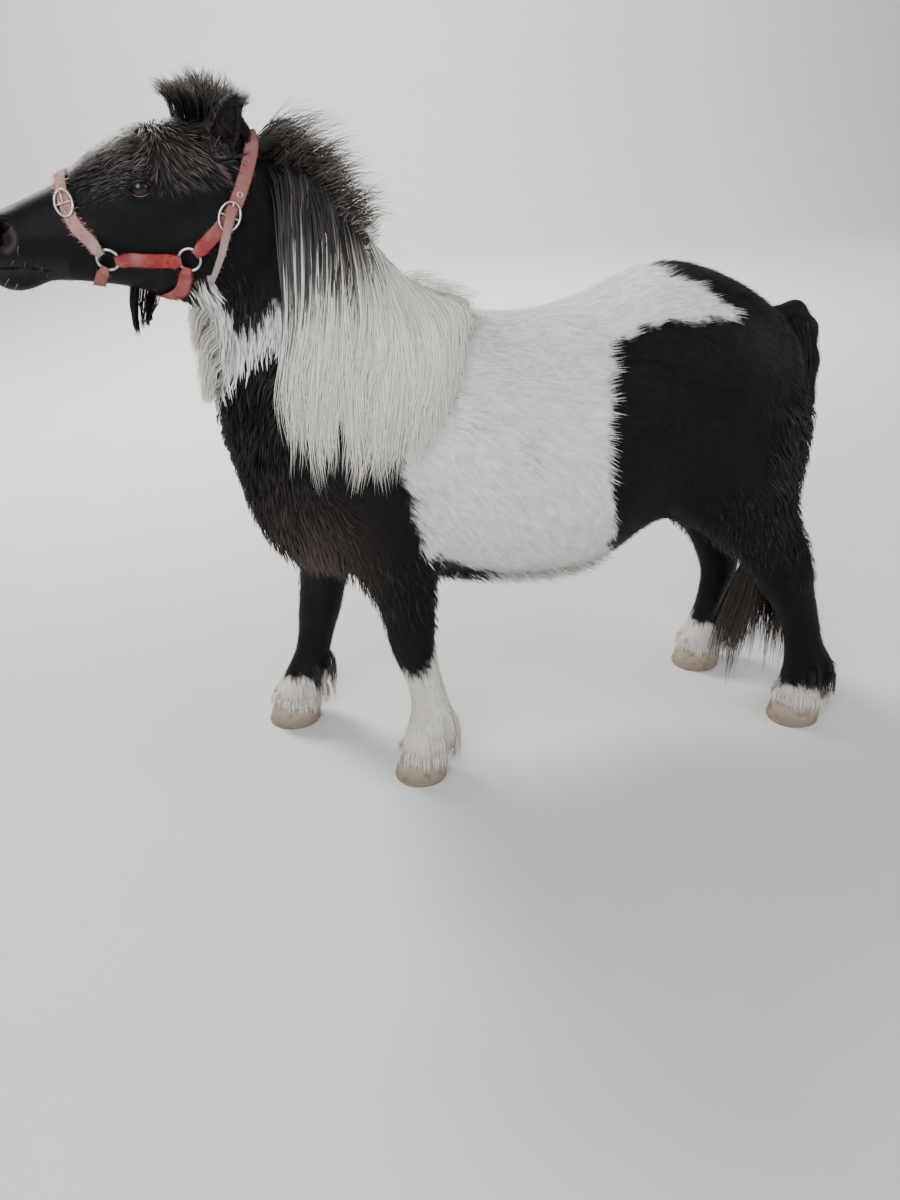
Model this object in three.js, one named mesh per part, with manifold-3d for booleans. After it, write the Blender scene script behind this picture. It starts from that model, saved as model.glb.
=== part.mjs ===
// Shetland pony, standing square-on with the nose raised, as a still life-size model in a head collar.
// Millimetres, +Z up. The pony faces -X and its near (left) side is -Y. While it is modelled, X is counted
// from the near fore hoof and Y from the middle plane; the last group centres its box on the origin.
import * as THREE from "three";
import { mergeVertices } from "three/addons/utils/BufferGeometryUtils.js";
import Module from "manifold-3d";

const wasm = await Module();
wasm.setup();

// Driving dimensions
const WITHERS_HEIGHT = 950;
const STANCE_HALF = 142;
const NODE_GAP = 0.35;
const BLEND = 55;
const LEG_BLEND = 45;
const NECK_BLEND = 45;
const FORM_BLEND = 22;
const LOCK_SEED = 20417;
const ROOT_DEPTH = 7;

// Colours, read from the animal and its head collar
const COAT_BLACK = 0x15130f;
const COAT_WHITE = 0xe9e4da;
const HOOF_HORN = 0xc9a876;
const EYE_DARK = 0x1a120d;
const WEBBING_RED = 0xb04a50;
const METAL = 0xc3c2bb;

const vec = (x, y, z) => new THREE.Vector3(x, y, z);

// A seeded source of small variations, the same on every run
function seeded(seed) {
  let state = seed >>> 0;
  return () => {
    state = (state + 0x6d2b79f5) >>> 0;
    let mixed = Math.imul(state ^ (state >>> 15), 1 | state);
    mixed = (mixed + Math.imul(mixed ^ (mixed >>> 7), 61 | mixed)) ^ mixed;
    return ((mixed ^ (mixed >>> 14)) >>> 0) / 4294967296;
  };
}

const clamp = (value, low, high) => Math.min(high, Math.max(low, value));
const mix = (a, b, share) => a + (b - a) * share;

// Smooth curve through [at, value] pairs, flat past its ends
function curve(pairs) {
  const slope = pairs.map((pair, i) => {
    const before = pairs[Math.max(0, i - 1)];
    const after = pairs[Math.min(pairs.length - 1, i + 1)];
    return (after[1] - before[1]) / (after[0] - before[0] || 1);
  });
  return (at) => {
    const x = clamp(at, pairs[0][0], pairs[pairs.length - 1][0]);
    let i = 0;
    while (i < pairs.length - 2 && x > pairs[i + 1][0]) i++;
    const span = pairs[i + 1][0] - pairs[i][0];
    const u = (x - pairs[i][0]) / span;
    const ease = u * u * (3 - 2 * u);
    const lean = (1 - u) * slope[i] - u * slope[i + 1];
    return mix(pairs[i][1], pairs[i + 1][1], ease) + span * u * (1 - u) * lean;
  };
}

// A mass of flesh that runs along a straight line in the XZ plane. Each station gives the section there:
// its middle, its reach to the top and base side, its half width, and how square and egg-shaped it is.
const USUAL_SECTION = { mid: 0, side: 0, top: 50, base: 50, half: 50, power: 2, egg: 0 };
const TABLE_STEPS = 240;
class Mass {
  constructor(origin, along, stations) {
    this.origin = origin;
    this.along = along.clone().normalize();
    this.up = vec(-this.along.z, 0, this.along.x);
    if (this.up.z < 0 || (this.up.z === 0 && this.up.x < 0)) this.up.negate();
    this.first = stations[0].at;
    this.last = stations[stations.length - 1].at;
    const curves = Object.entries(USUAL_SECTION).map(([name, usual]) =>
      curve(stations.map((station) => [station.at, station[name] ?? usual])),
    );
    this.table = [];
    for (let i = 0; i <= TABLE_STEPS; i++) {
      const at = mix(this.first, this.last, i / TABLE_STEPS);
      this.table.push(curves.map((read) => read(at)));
    }
  }
  section(at) {
    const along = (clamp(at, this.first, this.last) - this.first) / (this.last - this.first);
    const place = along * TABLE_STEPS;
    const i = Math.min(TABLE_STEPS - 1, Math.floor(place));
    const share = place - i;
    return this.table[i].map((value, n) => mix(value, this.table[i + 1][n], share));
  }
  field(p) {
    const dx = p.x - this.origin.x;
    const dz = p.z - this.origin.z;
    const at = dx * this.along.x + dz * this.along.z;
    const [mid, side, top, base, half, power, egg] = this.section(at);
    const rise = dx * this.up.x + dz * this.up.z - mid;
    const off = p.y - this.origin.y - side;
    const reach = rise > 0 ? top : base;
    const wide = half * (1 + egg * clamp(rise / reach, -1, 1));
    const sum = Math.pow(Math.abs(rise) / reach, power) + Math.pow(Math.abs(off) / wide, power);
    const share = Math.pow(sum, 1 / power);
    const length = Math.hypot(rise, off);
    const radial = share > 1e-4 ? length * (1 - 1 / share) : -Math.min(reach, wide);
    const over = at - clamp(at, this.first, this.last);
    if (over === 0) return radial;
    return Math.hypot(Math.max(radial, 0), over);
  }
  point(at, angle, radius) {
    const [mid, side] = this.section(at);
    return vec(0, 0, 0)
      .copy(this.origin)
      .addScaledVector(this.along, at)
      .addScaledVector(this.up, mid + Math.cos(angle) * radius)
      .add(vec(0, side + Math.sin(angle) * radius, 0));
  }
}

// A rounded muscle: an ellipsoid by its centre and three radii
class Muscle {
  constructor(centre, radii) {
    this.centre = centre;
    this.radii = radii;
  }
  field(p) {
    const x = (p.x - this.centre.x) / this.radii.x;
    const y = (p.y - this.centre.y) / this.radii.y;
    const z = (p.z - this.centre.z) / this.radii.z;
    const share = Math.hypot(x, y, z);
    return (share - 1) * Math.min(this.radii.x, this.radii.y, this.radii.z);
  }
}

// Two distances as one, with a fillet; swell adds only the fillet to the first
const fillet = (a, b, width) => Math.pow(Math.max(width - Math.abs(a - b), 0) / width, 2) * (width / 4);
const smoothJoin = (a, b, width) => Math.min(a, b) - fillet(a, b, width);
const swell = (a, b, width) => a - fillet(a, b, width);

// Trunk: chest, barrel, loins and croup, along +X. z is given as the back and belly lines.
function trunkStation(x, back, belly, half, power = 2.2, egg = -0.08) {
  const middle = mix(back, belly, 0.48);
  return { at: x, mid: middle, top: back - middle, base: middle - belly, half, power, egg };
}
const trunk = new Mass(vec(0, 0, 0), vec(1, 0, 0), [
  trunkStation(-330, 790, 740, 22),
  trunkStation(-320, 840, 682, 76),
  trunkStation(-298, 878, 622, 114),
  trunkStation(-250, 915, 550, 153),
  trunkStation(-180, 948, 492, 184),
  trunkStation(-90, 955, 452, 200),
  trunkStation(0, WITHERS_HEIGHT - 2, 425, 214),
  trunkStation(100, 930, 404, 236),
  trunkStation(200, 914, 391, 250),
  trunkStation(300, 917, 391, 254),
  trunkStation(390, 944, 414, 244),
  trunkStation(470, 979, 470, 226),
  trunkStation(550, 990, 545, 210),
  trunkStation(630, 969, 585, 198),
  trunkStation(695, 934, 612, 180),
  trunkStation(748, 894, 640, 152),
  trunkStation(780, 856, 680, 112),
  trunkStation(796, 818, 716, 62),
  trunkStation(802, 782, 752, 20),
]);
const sides = [-1, 1];
const muscles = [];
for (const side of sides) {
  muscles.push(new Muscle(vec(-120, side * 118, 690), vec(150, 88, 225)));
  muscles.push(new Muscle(vec(-205, side * 82, 640), vec(95, 80, 135)));
  muscles.push(new Muscle(vec(602, side * 112, 690), vec(180, 98, 235)));
}
const trunkField = (p) =>
  muscles.reduce((near, muscle) => smoothJoin(near, muscle.field(p), BLEND), trunk.field(p));

// Neck, from the withers to the poll; top is the crest side and base the throat side
const neck = new Mass(vec(20, 0, 760), vec(-280, 0, 360), [
  { at: 0, top: 150, base: 250, half: 150, power: 2.2, egg: -0.22 },
  { at: 110, top: 130, base: 275, half: 128, power: 2.2, egg: -0.24 },
  { at: 200, top: 118, base: 268, half: 112, power: 2.2, egg: -0.24 },
  { at: 290, top: 114, base: 222, half: 98, power: 2.2, egg: -0.22 },
  { at: 360, top: 118, base: 176, half: 88, power: 2.2, egg: -0.18 },
  { at: 420, top: 116, base: 132, half: 82, power: 2.2, egg: -0.12 },
  { at: 470, top: 98, base: 92, half: 72, power: 2.2, egg: -0.1 },
  { at: 515, top: 86, base: 60, half: 60, power: 2.2, egg: 0 },
]);

// Head, from the back of the skull to the lips; top is the face line and base the jaw line
const HEAD_ORIGIN = vec(-250, 0, 1120);
const HEAD_ALONG = vec(-0.9903, 0, -0.139);
const head = new Mass(HEAD_ORIGIN, HEAD_ALONG, [
  { at: -20, top: 88, base: 96, half: 58, power: 2.2, egg: 0 },
  { at: 15, top: 112, base: 134, half: 74, power: 2.3, egg: 0 },
  { at: 55, top: 128, base: 150, half: 84, power: 2.4, egg: 0.02 },
  { at: 100, top: 140, base: 146, half: 90, power: 2.5, egg: 0.08 },
  { at: 150, top: 140, base: 134, half: 90, power: 2.5, egg: 0.14 },
  { at: 195, top: 128, base: 114, half: 82, power: 2.4, egg: 0.16 },
  { at: 240, top: 107, base: 96, half: 69, power: 2.3, egg: 0.12 },
  { at: 290, top: 83, base: 80, half: 57, power: 2.3, egg: 0.06 },
  { at: 340, top: 68, base: 68, half: 51, power: 2.3, egg: 0.02 },
  { at: 385, top: 56, base: 60, half: 53, power: 2.3, egg: 0 },
  { at: 415, top: 42, base: 50, half: 50, power: 2.3, egg: 0 },
  { at: 435, top: 26, base: 34, half: 36, power: 2.2, egg: 0 },
  { at: 443, top: 9, base: 11, half: 12, power: 2, egg: 0 },
]);

// Cheek, brow, nostril, the bar below the eye, and the chin
const headForms = [new Muscle(vec(-634, 0, 1016), vec(38, 34, 24))];
for (const side of sides) {
  headForms.push(new Muscle(vec(-322, side * 44, 1050), vec(84, 50, 82)));
  headForms.push(new Muscle(vec(-414, side * 62, 1180), vec(40, 26, 24)));
  headForms.push(new Muscle(vec(-646, side * 33, 1084), vec(26, 22, 30)));
  headForms.push(new Muscle(vec(-500, side * 34, 1085), vec(90, 26, 22)));
}
const headField = (p) =>
  headForms.reduce((near, form) => smoothJoin(near, form.field(p), FORM_BLEND), head.field(p));

// A leg is a stack of level sections: height, centre x, half length, half width, and how far out it stands
function leg(side, rows) {
  const stations = rows.map(([height, x, long, half, out]) => ({
    at: -height,
    mid: x,
    top: long,
    base: long,
    half,
    side: side * (out ?? STANCE_HALF),
    power: 2.1,
  }));
  return new Mass(vec(0, 0, 0), vec(0, 0, -1), stations);
}
const CORONET = 48;
const legs = {
  fore_near: leg(-1, [
    [620, -70, 112, 62, 118],
    [540, -62, 104, 60, 126],
    [450, -36, 72, 54, 136],
    [400, -28, 62, 49],
    [350, -21, 54, 46],
    [300, -17, 48, 45],
    [270, -10, 45, 43],
    [220, 5, 40, 36],
    [170, 15, 42, 36],
    [125, 19, 52, 44],
    [92, 12, 55, 49],
    [60, 4, 53, 51],
    [40, 0, 51, 50],
  ]),
  fore_off: leg(1, [
    [620, -80, 112, 62, 118],
    [530, -95, 100, 60, 126],
    [440, -128, 74, 54, 136],
    [370, -146, 61, 49],
    [310, -157, 53, 46],
    [262, -166, 50, 45],
    [215, -176, 44, 38],
    [165, -188, 43, 36],
    [122, -199, 53, 44],
    [88, -213, 57, 49],
    [58, -225, 56, 51],
    [40, -230, 54, 50],
  ]),
  hind_near: leg(-1, [
    [720, 655, 145, 78, 118],
    [620, 652, 142, 78, 126],
    [550, 655, 138, 74, 130],
    [480, 700, 106, 64, 134],
    [420, 745, 89, 55, 138],
    [370, 776, 73, 49],
    [320, 797, 62, 45],
    [250, 832, 48, 38],
    [190, 852, 47, 38],
    [140, 870, 57, 47],
    [100, 872, 58, 52],
    [62, 864, 56, 53],
    [40, 859, 54, 52],
  ]),
  hind_off: leg(1, [
    [720, 640, 145, 78, 118],
    [620, 618, 140, 78, 126],
    [540, 622, 126, 72, 130],
    [470, 668, 104, 63, 134],
    [410, 716, 87, 54, 138],
    [360, 755, 72, 49],
    [310, 776, 61, 45],
    [240, 788, 47, 38],
    [180, 784, 46, 38],
    [132, 786, 56, 47],
    [98, 775, 57, 52],
    [62, 763, 56, 53],
    [40, 757, 54, 52],
  ]),
};
const legFields = Object.values(legs).map((mass) => (p) => mass.field(p));

// A closed surface cast from a mass's own line out to the skin where field is `level`
const CAST_HALVINGS = 26;
function cast(mass, field, rings, around, level = 0) {
  const points = [];
  const reachOut = (at, angle) => {
    const [, , top, base, half] = mass.section(at);
    let low = 0;
    let high = Math.max(top, base, half) * 1.25 + 30;
    for (let i = 0; i < CAST_HALVINGS; i++) {
      const middle = (low + high) / 2;
      if (field(mass.point(at, angle, middle)) < level) low = middle;
      else high = middle;
    }
    return mass.point(at, angle, low);
  };
  for (const at of rings) {
    for (let j = 0; j < around; j++) points.push(reachOut(at, (2 * Math.PI * j) / around));
  }
  const ends = [rings[0], rings[rings.length - 1]].map((at) => mass.point(at, 0, 0));
  points.push(...ends);
  const index = [];
  const turn = mass.along.clone().cross(mass.up).y > 0 ? 1 : -1;
  const face = (a, b, c) => (turn > 0 ? index.push(a, b, c) : index.push(a, c, b));
  for (let i = 0; i + 1 < rings.length; i++) {
    for (let j = 0; j < around; j++) {
      const a = i * around + j;
      const b = i * around + ((j + 1) % around);
      face(a, b, b + around);
      face(a, b + around, a + around);
    }
  }
  const lastRing = (rings.length - 1) * around;
  for (let j = 0; j < around; j++) {
    const k = (j + 1) % around;
    face(points.length - 2, k, j);
    face(points.length - 1, lastRing + j, lastRing + k);
  }
  return meshOf(points, index);
}

function meshOf(points, index) {
  const flat = points.flatMap((p) => [p.x, p.y, p.z]);
  const geometry = new THREE.BufferGeometry();
  geometry.setAttribute("position", new THREE.Float32BufferAttribute(flat, 3));
  geometry.setIndex(index);
  return geometry;
}

// A three.js geometry as a solid that can be joined and cut, with its faces turned out, and back again
function solidOf(geometry) {
  const bare = geometry.clone();
  bare.deleteAttribute("normal");
  bare.deleteAttribute("uv");
  const merged = mergeVertices(bare, 1e-3);
  const vertProperties = new Float32Array(merged.attributes.position.array);
  const triVerts = new Uint32Array(merged.index.array);
  const made = new wasm.Manifold(new wasm.Mesh({ numProp: 3, vertProperties, triVerts }));
  if (made.volume() > 0) return made;
  for (let i = 0; i < triVerts.length; i += 3) {
    [triVerts[i + 1], triVerts[i + 2]] = [triVerts[i + 2], triVerts[i + 1]];
  }
  return new wasm.Manifold(new wasm.Mesh({ numProp: 3, vertProperties, triVerts }));
}
function geometryOf(solid) {
  const mesh = solid.getMesh();
  const geometry = new THREE.BufferGeometry();
  geometry.setAttribute("position", new THREE.Float32BufferAttribute(Array.from(mesh.vertProperties), 3));
  geometry.setIndex(Array.from(mesh.triVerts));
  geometry.computeVertexNormals();
  return geometry;
}
const largest = (solid) => solid.decompose().reduce((a, b) => (a.volume() > b.volume() ? a : b));
const joined = (solids) => solids.reduce((a, b) => a.add(b));

const spread = (first, last, count) =>
  Array.from({ length: count }, (_, i) => mix(first, last, i / (count - 1)));

// The skin of the whole animal, and each mass cast out to it; `level` grows a cast for its clearances
function bodyField(p) {
  const trunkAndNeck = smoothJoin(trunkField(p), neck.field(p), BLEND);
  return smoothJoin(trunkAndNeck, headField(p), NECK_BLEND);
}
const withLegs = (join) => (p) =>
  legFields.reduce((near, field) => join(near, field(p), LEG_BLEND), bodyField(p));
const trunkSkin = withLegs(swell);
const skinField = withLegs(smoothJoin);
const TRUNK_RINGS = [
  -329, -323, -311, -292, -262, -220, -170, -115, -55, 10, 80, 150, 220, 290,
  352, 410, 462, 512, 562, 612, 660, 702, 738, 766, 786, 797, 801,
];
const HEAD_RINGS = [
  -40, -15, 10, 35, 60, 85, 108, 130, 150, 170, 190, 212, 235, 260,
  285, 310, 335, 356, 374, 390, 406, 420, 431, 438, 442,
];
const NECK_RINGS = spread(120, 514, 14);
const TRUNK_AROUND = 28;
const NECK_AROUND = 24;
const HEAD_AROUND = 24;
const LEG_AROUND = 14;
const FORE_RINGS = 17;
const HIND_RINGS = 19;
const trunkSolid = (level) => solidOf(cast(trunk, trunkSkin, TRUNK_RINGS, TRUNK_AROUND, level));
const neckSolid = (level) => solidOf(cast(neck, bodyField, NECK_RINGS, NECK_AROUND, level));
const headSolid = (level) => solidOf(cast(head, bodyField, HEAD_RINGS, HEAD_AROUND, level));
function legSolid(name, level) {
  const mass = legs[name];
  const heights = spread(mass.first, mass.last, name.startsWith("fore") ? FORE_RINGS : HIND_RINGS);
  const legSkin = (p) => smoothJoin(mass.field(p), bodyField(p), LEG_BLEND);
  return solidOf(cast(mass, legSkin, heights, LEG_AROUND, level));
}

// Cuts: a plane through two points of the side view, keeping the side that `towards` lies on
function keepSide(solid, first, second, towards, gap) {
  const line = vec(second[0] - first[0], 0, second[1] - first[1]);
  const normal = vec(-line.z, 0, line.x).normalize();
  if (normal.dot(vec(towards[0] - first[0], 0, towards[1] - first[1])) < 0) normal.negate();
  const offset = normal.dot(vec(first[0], 0, first[1])) + gap / 2;
  return solid.trimByPlane([normal.x, normal.y, normal.z], offset);
}
const POLL_CUT = [[-208, 1240], [-322, 960]];
const WITHERS_CUT = [[30, 970], [-310, 715]];
const IN_HEAD = [-500, 1080];
const IN_NECK = [-150, 950];
const IN_TRUNK = [200, 700];
const headFlesh = (level, gap) => keepSide(headSolid(level), ...POLL_CUT, IN_HEAD, gap);
function neckFlesh(level, gap) {
  const belowPoll = keepSide(neckSolid(level), ...POLL_CUT, IN_NECK, gap);
  return keepSide(belowPoll, ...WITHERS_CUT, IN_NECK, gap);
}
const trunkFlesh = (level, gap) => keepSide(trunkSolid(level), ...WITHERS_CUT, IN_TRUNK, gap);

// The space of one leg: everything below its slanting top cut, on its own side of the belly
const LEG_CUTS = {
  fore_near: { front: [-160, 520], back: [62, 428], side: -1, inner: 34 },
  fore_off: { front: [-230, 520], back: [30, 440], side: 1, inner: 34 },
  hind_near: { front: [470, 520], back: [840, 640], side: -1, inner: 12 },
  hind_off: { front: [440, 520], back: [840, 640], side: 1, inner: 12 },
};
const FORE_FLARE = 180;
const HIND_FLARE = 250;
const BELOW_FLOOR = -60;
const LEG_SPACE_DEPTH = 400;
function legSpace(name, grow) {
  const { front, back, side, inner } = LEG_CUTS[name];
  const outline = new THREE.Shape([
    new THREE.Vector2(front[0] - grow, front[1] + grow),
    new THREE.Vector2(back[0] + grow, back[1] + grow),
    new THREE.Vector2(back[0] + grow + (name.startsWith("hind") ? HIND_FLARE : 0), BELOW_FLOOR),
    new THREE.Vector2(front[0] - grow - (name.startsWith("fore") ? FORE_FLARE : 0), BELOW_FLOOR),
  ]);
  const depth = LEG_SPACE_DEPTH;
  const block = new THREE.ExtrudeGeometry(outline, { depth, bevelEnabled: false });
  block.rotateX(Math.PI / 2);
  block.translate(0, side < 0 ? -inner + grow : inner - grow + depth, 0);
  return solidOf(block);
}
const legFlesh = (name, level, gap) =>
  legSolid(name, level).intersect(legSpace(name, -gap / 2)).trimByPlane([0, 0, 1], CORONET + NODE_GAP);
function torsoFlesh() {
  let flesh = trunkFlesh(0, NODE_GAP);
  for (const name of Object.keys(legs)) flesh = flesh.subtract(legSpace(name, NODE_GAP / 2));
  return flesh;
}

// Feeling for the skin: the way out of it, and the nearest point at a given height above it
const FEEL_STEP = 0.8;
const SETTLE_ROUNDS = 7;
const SETTLE_MOST = 40;
function outward(field, p) {
  const h = FEEL_STEP;
  return vec(
    field(vec(p.x + h, p.y, p.z)) - field(vec(p.x - h, p.y, p.z)),
    field(vec(p.x, p.y + h, p.z)) - field(vec(p.x, p.y - h, p.z)),
    field(vec(p.x, p.y, p.z + h)) - field(vec(p.x, p.y, p.z - h)),
  ).normalize();
}
function settle(field, p, level) {
  const q = p.clone();
  for (let i = 0; i < SETTLE_ROUNDS; i++) {
    q.addScaledVector(outward(field, q), clamp(level - field(q), -SETTLE_MOST, SETTLE_MOST));
  }
  return q;
}

// A closed tube through stations { p, across, out, wide, thick }. Each section has `sides` corners and
// both ends close on a point, or flat when `flat` is set.
function tube(stations, sides, flat = false) {
  const points = [];
  for (const { p, across, out, wide, thick } of stations) {
    for (let j = 0; j < sides; j++) {
      const angle = (2 * Math.PI * j) / sides;
      const flank = sides === 3 ? [1, 0, -1][j] : Math.cos(angle);
      const rise = sides === 3 ? [-1, 1, -1][j] : Math.sin(angle);
      const q = p.clone().addScaledVector(across, (flank * wide) / 2);
      points.push(q.addScaledVector(out, (rise * thick) / 2));
    }
  }
  const index = [];
  for (let i = 0; i + 1 < stations.length; i++) {
    for (let j = 0; j < sides; j++) {
      const a = i * sides + j;
      const b = i * sides + ((j + 1) % sides);
      index.push(a, b, b + sides, a, b + sides, a + sides);
    }
  }
  const last = (stations.length - 1) * sides;
  const first = stations[0];
  const end = stations[stations.length - 1];
  points.push(first.p.clone().addScaledVector(first.ahead ?? vec(0, 0, 0), flat ? 0 : -(first.point ?? 0)));
  points.push(end.p.clone().addScaledVector(end.ahead ?? vec(0, 0, 0), flat ? 0 : end.point ?? 0));
  for (let j = 0; j < sides; j++) {
    const k = (j + 1) % sides;
    index.push(points.length - 2, k, j);
    index.push(points.length - 1, last + j, last + k);
  }
  return solidOf(meshOf(points, index));
}

// One flat, tapered lock of hair through a run of points. `outs` says which way its flat side faces.
const LOCK_CORNERS = 3;
function lockThrough(points, outs, wide, thick) {
  const count = points.length;
  const stations = points.map((p, i) => {
    const ahead = points[Math.min(count - 1, i + 1)].clone().sub(points[Math.max(0, i - 1)]).normalize();
    const across = ahead.clone().cross(outs[i]).normalize();
    const out = across.clone().cross(ahead).normalize();
    const share = i / (count - 1);
    const belly = 0.62 + 0.38 * Math.sin(Math.PI * Math.min(1, share * 1.5 + 0.12));
    const taper = Math.pow(1 - share, 0.55) * belly;
    return { p, across, out, wide: wide * taper, thick: mix(thick, thick * 0.3, share), ahead };
  });
  const tip = stations.pop();
  const end = stations[stations.length - 1];
  end.ahead = tip.p.clone().sub(end.p).normalize();
  end.point = tip.p.distanceTo(end.p);
  return tube(stations, LOCK_CORNERS);
}

// A lock that lies along the skin: it starts sunk at `start`, and follows `steer` at the heights of `lift`
function lyingLock(field, start, steer, length, steps, lift, wide, thick) {
  const points = [];
  const outs = [];
  let p = settle(field, start, lift(0));
  for (let i = 0; i <= steps; i++) {
    const out = outward(field, p);
    points.push(p.clone());
    outs.push(out);
    const way = steer(p, i / steps);
    way.addScaledVector(out, -way.dot(out)).normalize();
    p = settle(field, p.clone().addScaledVector(way, length / steps), lift((i + 1) / steps));
  }
  return lockThrough(points, outs, wide, thick);
}

// A lock that stands free: it leaves `start` along `way`, bends towards `bend`, and faces `out`
function freeLock(start, way, bend, out, length, steps, wide, thick) {
  const points = [];
  const outs = [];
  for (let i = 0; i <= steps; i++) {
    const share = i / steps;
    points.push(
      start.clone().addScaledVector(way, length * share).addScaledVector(bend, length * share * share),
    );
    outs.push(out);
  }
  return lockThrough(points, outs, wide, thick);
}

const random = seeded(LOCK_SEED);
const vary = (spreadOf) => (random() * 2 - 1) * spreadOf;

// The mane falls from the crest over the near side of the neck and shoulder. For a share of the way along
// the crest, MANE_END_X and MANE_END_Z say where its longest locks end.
const MANE_LOCKS = 22;
const MANE_WIDE = 56;
const MANE_THICK = 5;
const MANE_STEPS = 5;
const MANE_LOW = 4;
const MANE_LAYER = 5.4;
const CREST_FIRST = 452;
const CREST_LAST = 152;
const MANE_END_X = curve([[0, -214], [0.2, -198], [0.4, -152], [0.6, -90], [0.8, -14], [1, 78]]);
const MANE_END_Z = curve([[0, 742], [0.2, 672], [0.4, 622], [0.6, 616], [0.8, 686], [1, 850]]);
const crestPoint = (at, lean) => settle(skinField, neck.point(at, lean, 140), 0);
const maneLocks = [];
for (let row = 0; row < 2; row++) {
  const count = MANE_LOCKS / 2;
  for (let i = 0; i < count; i++) {
    const share = (i + 0.5 * row) / (count - 0.5);
    const start = crestPoint(mix(CREST_FIRST, CREST_LAST, share) + vary(5), row ? -0.75 : -0.08);
    const end = vec(MANE_END_X(share) + vary(8), 0, MANE_END_Z(share) + vary(14));
    const reach = Math.hypot(end.x - start.x, end.z - start.z) * (row ? 0.96 : 1.05);
    const height = MANE_LOW + MANE_LAYER * ((2 * i + row) % 3);
    const steer = (p, along) => {
      const way = vec(end.x - p.x, 0, Math.min(-20, end.z - p.z)).normalize();
      return way.add(vec(0.1 * Math.sin(along * 6 + i), -0.7 * (1 - along), 0));
    };
    const lift = (along) => (along === 0 ? -ROOT_DEPTH : height + 2 * along);
    maneLocks.push(lyingLock(skinField, start, steer, reach, MANE_STEPS, lift, MANE_WIDE, MANE_THICK));
  }
}
// Short hair stands along the crest as a brush, each lock bent back over its neighbour
const BRISTLE_LOCKS = 12;
const BRISTLE_WIDE = 54;
const BRISTLE_THICK = 11;
const FREE_STEPS = 4;
for (let i = 0; i < BRISTLE_LOCKS; i++) {
  const share = i / (BRISTLE_LOCKS - 1);
  const at = mix(CREST_FIRST + 8, CREST_LAST + 12, share);
  const flank = i % 2 ? 1 : -1;
  const start = settle(skinField, neck.point(at, 0.1 * flank, 140), -ROOT_DEPTH);
  const way = vec(0.42 + vary(0.2), 0.12 * flank + vary(0.08), 0.9).normalize();
  const bend = vec(0.22, way.y * 0.6, -0.22 + vary(0.1));
  const length = mix(76, 46, share) + vary(8);
  const out = vec(0, 1, 0.4);
  maneLocks.push(freeLock(start, way, bend, out, length, FREE_STEPS, BRISTLE_WIDE, BRISTLE_THICK));
}

// The forelock stands up between the ears as a brush that fans out and bends over at its tips
const FORELOCK_LOCKS = 13;
const FORELOCK_CENTRE = vec(-306, 0, 1260);
const FORELOCK_LONG = 82;
const FORELOCK_WIDE = 46;
const FORELOCK_THICK = 12;
const forelock = [];
for (let i = 0; i < FORELOCK_LOCKS; i++) {
  const share = (i + 0.3) / FORELOCK_LOCKS;
  const turn = i * 2.399;
  const spreadOut = Math.sqrt(share);
  const away = vec(-Math.cos(turn) * spreadOut, Math.sin(turn) * spreadOut, 0);
  const root = FORELOCK_CENTRE.clone().add(vec(away.x * 36, away.y * 26, 0));
  const start = settle(skinField, root, -ROOT_DEPTH);
  const way = vec(away.x * 0.5 - 0.05, away.y * 0.5, 1).normalize();
  const bend = vec(away.x * 0.2 - 0.04, away.y * 0.3, -0.2 * spreadOut);
  const out = vec(-Math.cos(turn), Math.sin(turn), 0.2);
  const length = FORELOCK_LONG + vary(9);
  forelock.push(freeLock(start, way, bend, out, length, FREE_STEPS, FORELOCK_WIDE, FORELOCK_THICK));
}

// The beard hangs behind the chin groove
const BEARD_LOCKS = 4;
const BEARD_LONG = 52;
const BEARD_STEPS = 3;
const BEARD_WIDE = 22;
const BEARD_THICK = 8;
const beard = [];
for (let i = 0; i < BEARD_LOCKS; i++) {
  const x = mix(-476, -446, i / (BEARD_LOCKS - 1));
  const flank = i % 2 ? 1 : -1;
  const start = settle(skinField, vec(x, flank * 9 + vary(4), 940), -ROOT_DEPTH);
  const way = vec(vary(0.12), flank * 0.1, -1).normalize();
  const bend = vec(mix(0.16, -0.05, i / (BEARD_LOCKS - 1)), 0, 0);
  const length = BEARD_LONG + vary(6);
  beard.push(freeLock(start, way, bend, vec(0, flank, 0), length, BEARD_STEPS, BEARD_WIDE, BEARD_THICK));
}

// Feather lies down the back of each fetlock to the heel of the hoof
const FEATHER_TOP = 168;
const FEATHER_LOCKS = 5;
const FEATHER_LONG = 112;
const FEATHER_WIDE = 46;
const FEATHER_THICK = 9;
function featherOf(name) {
  const mass = legs[name];
  const locks = [];
  for (let i = 0; i < FEATHER_LOCKS; i++) {
    const turn = mix(-1.45, 1.45, i / (FEATHER_LOCKS - 1));
    const height = FEATHER_TOP + vary(8) - 18 * (i % 2);
    const [mid, side] = mass.section(-height);
    const way = vec(Math.cos(turn), Math.sin(turn), 0);
    const start = settle(skinField, vec(mid, side, height).addScaledVector(way, 60), 0);
    const steer = () => vec(way.x * 0.12, way.y * 0.1, -1);
    const lift = (along) => mix(-ROOT_DEPTH, 9 + 3 * (i % 2), Math.pow(along, 0.8));
    const length = FEATHER_LONG + vary(6) - 16 * (i % 2);
    locks.push(lyingLock(skinField, start, steer, length, FREE_STEPS, lift, FEATHER_WIDE, FEATHER_THICK));
  }
  return locks;
}

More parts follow.
